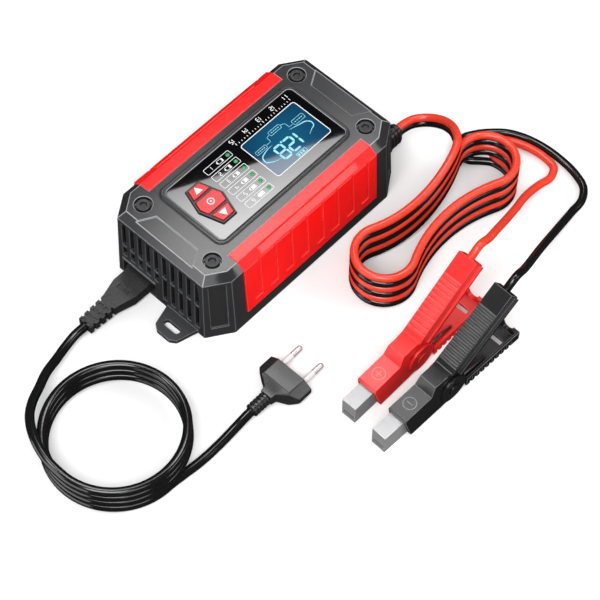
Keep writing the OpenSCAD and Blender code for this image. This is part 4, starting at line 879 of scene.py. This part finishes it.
def make_output_wires():
    """The two wires from the gland to the terminal, one above the other at the gland."""
    for side, colour in ((1, "red"), (-1, "black")):
        material, slot = JACKETS[colour]
        z = WIRE_MID_Z + side * WIRE_RISE
        y = TERMINAL_Y + side * TERMINAL_HALF
        route = [
            (0.083, -0.031, z), (0.079, -0.031, z), (0.073, -0.0298, z - 0.001), (0.067, -0.026, z - 0.003),
            (0.062, y - 0.002, 0.0176), (0.059, y, TERMINAL_Z), (0.056, y, TERMINAL_Z),
        ]
        wire = tube(curve_through(route, (-1, 0, 0), (-1, 0, 0)), WIRE_R, 16)
        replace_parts(piece("output_wire_" + colour, wire, material, "root"), "output_wires")


springs = {colour: make_spring(colour) for colour in CLAMP_LOOKS}
make_output_wires()


# ---- panel, keys and marks

PANEL_TOP = 61.5
COVER_TOP = 62.5
KEY_TOP = 63.5
PRINT_T = 0.06
LCD_MID = (28.9, 0.6)
LCD_HALF = (24.8, 17.0)
ROWS = 6
ROW_MID = 0.8
ROW_PITCH = 7.4
LIGHT_X = -6.2
KEY_X = -40.2
KEY_SIDE = 12.5


def marks(name, sketch, z, thickness, material, body="root"):
    """A sketch on the level z."""
    return piece(name, sketch.surface(Matrix.Translation((0, 0, z)), thickness), material, body)


# Each number's text, corner, width, height and line, and the near and far corner of each charging step's box
DISPLAY_NUMBERS = [
    ("1", 35.5, 0.9, 0.5, 11.0, 1.5), ("2", 31.6, 0.7, 6.2, 11.0, 1.6), ("8", 23.2, 0.7, 6.2, 11.2, 1.6),
]
STEP_BOXES = [(6.6, 4.2, 16.2, 7.5), (23.8, 8.9, 34, 12.6), (40.9, 3.6, 50.9, 7.9)]
STEP_LINES = [
    [(16.8, 6.2), (20.4, 6.2), (20.9, 10.1), (23.4, 10.6)],
    [(33.9, 10.8), (36.3, 10.2), (37.3, 9.2), (37.1, 5.6), (40.1, 5.5)],
]
CRESCENTS = [
    [(19.2, 3.6), (13.7, 3.2), (7.1, 0.3), (6.4, -2.8), (10.1, -6.1), (16.1, -8.1)],
    [(35.5, 4.1), (43.3, 2.2), (48.1, 0.9), (50.2, -2), (49.6, -4.5), (45.4, -6.4), (42.2, -8.1)],
]
BATTERY_BARS = (25.6, 27.7, 29.8)


def make_display():
    """The display's field with its frame line, the numbers and the charging steps round them."""
    x0, x1 = LCD_MID[0] - LCD_HALF[0], LCD_MID[0] + LCD_HALF[0]
    y0, y1 = LCD_MID[1] - LCD_HALF[1], LCD_MID[1] + LCD_HALF[1]
    marks("display_field", Sketch().box(x0, x1, y0, y1, 1.8), PANEL_TOP, PRINT_T,
          display_field("lcd_blue"))
    marks("display_frame", Sketch().box_line(x0 - 0.5, x1 + 0.5, y0 - 0.5, y1 + 0.5, 2.3, 0.55), PANEL_TOP,
          2 * PRINT_T, ink_white)
    lit = Sketch()
    for number in DISPLAY_NUMBERS:
        lit.digits(*number)
    lit.plate(circle(24.7, 1.1, 0.8, 16))
    for x, y, far_x, far_y in STEP_BOXES:
        middle = (y + far_y) / 2
        lit.box_line(x, far_x, y, far_y, 0.8, 0.3)
        for dash in np.linspace(x + 2.2, far_x - 2.2, 4):
            lit.box(dash - 0.6, dash + 0.6, middle - 0.3, middle + 0.3, 0.1)
    for line in STEP_LINES:
        lit.stroke(line, 0.35)
    for points in CRESCENTS:
        bow = np.c_[np.array(points), np.zeros(len(points))]
        line = curve_through(bow, bow[1] - bow[0], bow[-1] - bow[-2], 0.6)[:, :2]
        lit.stroke(line, 0.12 + 0.75 * np.sin(np.linspace(0, math.pi, len(line))))
    lit.box_line(24, 32.4, -15.9, -12.6, 0.6, 0.4)
    for x in BATTERY_BARS:
        lit.box(x - 0.7, x + 0.7, -15.1, -13.4, 0.2)
    marks("display_marks", lit, PANEL_TOP, 2 * PRINT_T, cyan_lit)


def make_light_rows():
    """The rows, each a frame line with its light, a battery filled a little more, and its number."""
    ink = Sketch()
    domes = []
    for row in range(ROWS):
        y = ROW_MID + ((ROWS - 1) / 2 - row) * ROW_PITCH
        ink.box_line(-26.4, -3.5, y - 2.75, y + 2.75, 1.0, 0.35)
        ink.box_line(-15.4, -10.8, y - 1.5, y + 1.5, 0.3, 0.3)
        ink.box(-16.1, -15.4, y - 0.7, y + 0.7, 0.1)
        ink.box(-11.3 - (row + 1) * 0.6, -11.2, y - 1.05, y + 1.05, 0.05)
        ink.digits(str(row + 1), -19.4, y + 1.35, 1.5, 2.7, 0.42)
        domes.append(dome(LIGHT_X, y, PANEL_TOP, 1.5, 0.5))
    marks("light_rows", ink, PANEL_TOP, PRINT_T, ink_white)
    piece("light_domes", joined(domes), lamp_green, "root")


def dome(x, y, z, radius, height):
    """A shallow dome in metres from millimetres: rings up a quarter ellipse, in even steps of its angle."""
    sides, rings = 20, 5
    t = np.linspace(0, math.pi / 2, rings + 1)[:-1]
    flat = radius * np.cos(t)[:, None, None] * circle(0, 0, 1, sides)
    up = np.broadcast_to(height * np.sin(t)[:, None, None], (rings, sides, 1))
    points = np.concatenate([flat, up], axis=2).reshape(-1, 3) + (x, y, z)
    cap = (np.arange(sides) + (rings - 1) * sides).tolist()
    return points * MM, [*ring_walls(rings, sides), cap]


# The scale of volts, whose every fifth tick is long
SCALE_X = 53.5
SCALE_Y = 20.0
TICK_PITCH = 2.5
TICKS = 21
FIRST_VOLT = 11


def make_scale():
    """A plain scale of volts beside the display: ticks, and a number at each long one."""
    ink = Sketch()
    for tick in range(TICKS):
        x = SCALE_X - tick * TICK_PITCH
        long = tick % 5 == 0
        height = 2.0 if long else 1.1
        ink.box(x - 0.2, x + 0.2, SCALE_Y, SCALE_Y + height, 0.05)
        if long:
            ink.digits(str(FIRST_VOLT + tick // 5), x + 2.0, SCALE_Y + 6.0, 1.5, 3.2, 0.55, 0.35)
    marks("volt_scale", ink, PANEL_TOP, PRINT_T, ink_white)


def make_key_marks():
    """A triangle on each outer key and a ring on the middle one."""
    for name, way in (("up_key", 1), ("down_key", -1)):
        y = ROW_MID + way * KEY_SIDE
        foot = y - way * 2.6
        corners = [(KEY_X, y + way * 2.6), (KEY_X - way * 2.8, foot), (KEY_X + way * 2.8, foot)]
        marks(name + "_mark", Sketch().plate(corners), KEY_TOP, PRINT_T, ink_white, name)
    ring = Sketch().ring(KEY_X, ROW_MID, 2.6, 1.95).plate(circle(KEY_X, ROW_MID, 0.7, 20))
    marks("enter_key_mark", ring, KEY_TOP, PRINT_T, ink_white, "enter_key")


# The rim's outer and inner line as x0, x1, y0, y1, and the radius of its corners
RIM_OUTER = (-60.6, 62.2, -28.8, 31.0)
RIM_INNER = (-56.6, 60.3, -24.9, 28.3)
RIM_CORNER = 7
RIM_CORNER_FALL = 3.4


def rim_band(name, profile, material):
    """A ring of surface round the panel: heights at shares of the way from the outer line to the inner."""
    outer, inner = np.array(RIM_OUTER), np.array(RIM_INNER)
    levels = []
    for share, z in profile:
        outline = rounded_box(*(outer + (inner - outer) * share), RIM_CORNER - RIM_CORNER_FALL * share)
        levels.append(np.c_[outline, np.full(len(outline), z)])
    walls = ring_walls(len(levels), len(levels[0]))
    piece(name, (np.vstack(levels) * MM, walls), material, "root", sharp=50)


def make_panel_rim():
    """The rim round the pocket: a flat black band that paints the shadow of a groove, a low flat ridge and a
    dark slope down to the gloss sheet.
    """
    foot, shadow_band_level, ridge, sheet = COVER_TOP - 0.1, COVER_TOP + 0.04, COVER_TOP + 0.3, PANEL_TOP + 0.02
    # A flat black band, a little above the cover, paints the shadow of a groove round the rim
    rim_band("rim_shadow_band", [(-0.12, foot), (-0.1, shadow_band_level), (0.16, shadow_band_level), (0.17, foot)], painted_shade_black)
    crest = [(0.16, shadow_band_level), (0.2, ridge - 0.05), (0.26, ridge), (0.68, ridge), (0.74, ridge - 0.08)]
    rim_band("rim_ridge", [*crest, (0.78, foot)], cover_grey)
    descent = [(0.77, COVER_TOP), (0.8, foot), (0.96, sheet + 0.3), (1.0, sheet), (1.02, sheet - 0.1)]
    rim_band("rim_slope", descent, rim_black)


# The crease across the plug's back, half its length, and the slope behind it
CREASE_AT = (-87, -101, 13.7)
CREASE_HALF = 10.8
PLUG_SLOPE = math.atan2(2.05, 6)
FINE_LINES = 5


def make_plug_shade_lines():
    """A black line that paints the shade of the crease across the plug's back, and ever shorter fine black
    lines that paint the shade of fine ribs on the slope behind it.
    """
    place = Matrix.Translation(CREASE_AT) @ Matrix.Rotation(-PLUG_SLOPE, 4, "Y")
    # The black plates paint shade along the crease and between the fine ribs
    lines = Sketch().box(-0.5, 0, -CREASE_HALF, CREASE_HALF, 0.1)
    for k in range(FINE_LINES):
        x = -1.5 - k
        half = 6.6 + 0.6 * x
        lines.box(x - 0.22, x + 0.22, -half, half, 0.1)
    body = frame["nodes"]["plug_body"]["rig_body"]
    return piece("plug_shade_lines", lines.surface(place, 0.08), painted_shade_black, body)


PLATE_FOOT = (-42, 20.5)
PLATE_BACK = (-19.5, 21.5)
SIGN_AT = -31.5
SIGN_BARS = {"red": [(2.4, 0.35), (0.35, 2.4)], "black": [(0.35, 2.4)]}


def make_clamp_signs():
    """A ring with plus or minus on each clamp's nose plate, raised a little."""
    slope = math.atan2(PLATE_BACK[1] - PLATE_FOOT[1], PLATE_BACK[0] - PLATE_FOOT[0])
    height = PLATE_FOOT[1] + (SIGN_AT - PLATE_FOOT[0]) * math.tan(slope)
    for colour in CLAMP_LOOKS:
        sign = Sketch().ring(0, 0, 4.6, 4.0)
        for x, y in SIGN_BARS[colour]:
            sign.box(-x, x, -y, y, 0.15)
        nose = clamp_place(colour) @ Matrix.Translation((SIGN_AT, 0, height))
        surface = sign.surface(nose @ Matrix.Rotation(-slope, 4, "Y"), 0.15)
        piece(colour + "_sign", surface, signs[colour], colour + "_clamp_top")


ink_white = printed("ink_white", (0.78, 0.79, 0.80))
cyan_lit = glowing("display_marks", (0.22, 0.55, 0.66), 0.5, (0.05, 0.15, 0.18))
signs = {
    "red": moulded("sign_red", (0.80, 0.16, 0.15), 0.4, grain=0.5),
    "black": moulded("sign_grey", (0.16, 0.16, 0.165), 0.4, grain=0.5),
}
make_display()
make_light_rows()
make_scale()
make_key_marks()
make_panel_rim()
plug_shade_lines = make_plug_shade_lines()
make_clamp_signs()


# ---- floor and light

def make_floor():
    """A wide white floor just under the object."""
    reach, drop = 4.0, 0.0002
    finish = Finish("floor", Roughness=0.9)
    faint = finish.noise(0.4, 2)
    finish.tint(faint, (0.90, 0.90, 0.90), (0.92, 0.92, 0.92))
    corners = [(x * reach, y * reach, -drop) for x, y in ((-1, -1), (1, -1), (1, 1), (-1, 1))]
    floor = piece("floor", (corners, [[0, 1, 2, 3]]), finish.material)
    floor.visible_glossy = False


def make_lamp(name, place, size, power):
    """A square area lamp with its middle at a place, turned to the object."""
    data = bpy.data.lights.new(name, "AREA")
    data.shape = "SQUARE"
    data.size = size
    data.energy = power
    lamp = bpy.data.objects.new(name, data)
    lamp.location = place
    lamp.rotation_euler = (LAMP_AIM - Vector(place)).to_track_quat("-Z", "Y").to_euler()
    bpy.context.scene.collection.objects.link(lamp)
    return lamp


def stage_card(name, corners, level):
    """A bright sheet that only reflections see. Its level is a number or a function of its finish."""
    finish = Finish(name, Roughness=1.0, Emission_Strength=1.0)
    finish.set("Base Color", (0, 0, 0))
    if callable(level):
        level = level(finish)
    finish.set("Emission Color", finish.add("ShaderNodeCombineColor", values={0: level, 1: level, 2: level}))
    card = piece(name, (corners, [[0, 1, 2, 3]]), finish.material)
    card.visible_camera = card.visible_diffuse = card.visible_shadow = False


def overhead(x0, x1, y0, y1):
    """The corners of a level sheet at the height of the cards."""
    return [(x, y, CARD_H) for x, y in ((x0, y0), (x1, y0), (x1, y1), (x0, y1))]


def upright(start, end, low, high):
    """The corners of an upright sheet over a line on the floor, between two heights."""
    return [(*start, low), (*end, low), (*end, high), (*start, high)]


def ramp(letter, start, end, first, last):
    """A card's level that goes from first to last between two places on an axis."""
    return lambda finish: finish.span(finish.axis(letter), start, end, first, last)


# The overhead card: height, near edge, right edge, two points of the far edge, and the fade up to that edge
CARD_H = 1.2
CARD_Y = 0.43
CARD_X = 0.80
CARD_EDGE = ((0.449, 0.631), (0.687, 0.520))
CARD_FADE = 0.09
CARD_LEVELS = (11.0, 5.5)

# Corners and level of the sheets that single faces and the cords mirror
SIDE_CARDS = {
    "cover_card": (overhead(0.30, CARD_EDGE[0][0], CARD_Y, 0.60), ramp("Y", 0.53, 0.60, 11.0, 5.0)),
    "end_card": (overhead(0.705, 0.85, 0.50, 0.72), 1.2),
    "nose_card": (overhead(0.15, 0.385, 0.14, 0.30), 8.0),
    "trapezoid_card": (overhead(-0.80, -0.25, 0.48, 0.74), ramp("Y", 0.54, 0.66, 13.0, 2.0)),
    "bevel_card": (upright((-0.885, 0.15), (-0.885, 0.54), 0.36, 0.64), ramp("Y", 0.38, 0.45, 5.5, 0.5)),
    "corner_card": (upright((-0.75, -0.745), (-0.25, -0.745), 0.45, 0.90), 3.5),
    "slope_card": (upright((0.15, -0.86), (0.80, -0.86), 0.49, 0.69), ramp("X", 0.2, 0.8, 6.5, 5.0)),
    "cord_card_left": (overhead(-0.15, 0.12, 0.14, 0.42), 12.0),
    "cord_card_front": (overhead(0.28, 0.58, -0.25, 0.08), 12.0),
    "left_card": (upright((-1.10, -0.30), (-0.90, 0.90), -0.35, 0.30), 3.0),
}

# Lamps: place, size and power. The sky: its level, and the level that reflections see
LAMP_AIM = Vector((0, -0.05, 0))
KEY_LAMP = ((-0.9, -0.5, 1.6), 0.9, 26)
FILL_LAMP = ((1.1, -1.2, 1.2), 1.0, 16)
SKY_LEVEL = 0.75
SKY_MIRRORED = 0.03


def make_overhead_card():
    """A sheet overhead that the housing's top mirrors, dimmer to its far edge, which crosses the panel."""
    (x0, y0), (x1, y1) = CARD_EDGE
    fall = (y1 - y0) / (x1 - x0)

    def level(finish):
        edge = y0 - x0 * fall
        return finish.span(finish.axis("Y") - finish.axis("X") * fall, edge - CARD_FADE, edge, *CARD_LEVELS)

    far = [(x, y0 + (x - x0) * fall, CARD_H) for x in (CARD_X, x0)]
    stage_card("overhead_card", [(x0, CARD_Y, CARD_H), (CARD_X, CARD_Y, CARD_H), *far], level)


def light_world(level, mirrored):
    """An even white sky at one level, which reflections see at another."""
    world = bpy.data.worlds.new("world")
    world.use_nodes = True
    nodes, links = world.node_tree.nodes, world.node_tree.links
    mix = nodes.new("ShaderNodeMixShader")
    links.new(nodes.new("ShaderNodeLightPath").outputs["Is Glossy Ray"], mix.inputs[0])
    for slot, strength in ((1, level), (2, mirrored)):
        sky = nodes.new("ShaderNodeBackground")
        sky.inputs["Color"].default_value = (1, 1, 1, 1)
        sky.inputs["Strength"].default_value = strength
        links.new(sky.outputs[0], mix.inputs[slot])
    links.new(mix.outputs[0], nodes["World Output"].inputs[0])
    bpy.context.scene.world = world


make_floor()
make_overhead_card()
for name, (corners, level) in SIDE_CARDS.items():
    stage_card(name, corners, level)
light_world(SKY_LEVEL, SKY_MIRRORED)
make_lamp("key", *KEY_LAMP)
make_lamp("fill", *FILL_LAMP).visible_glossy = False
bpy.context.scene.view_settings.view_transform = "Standard"
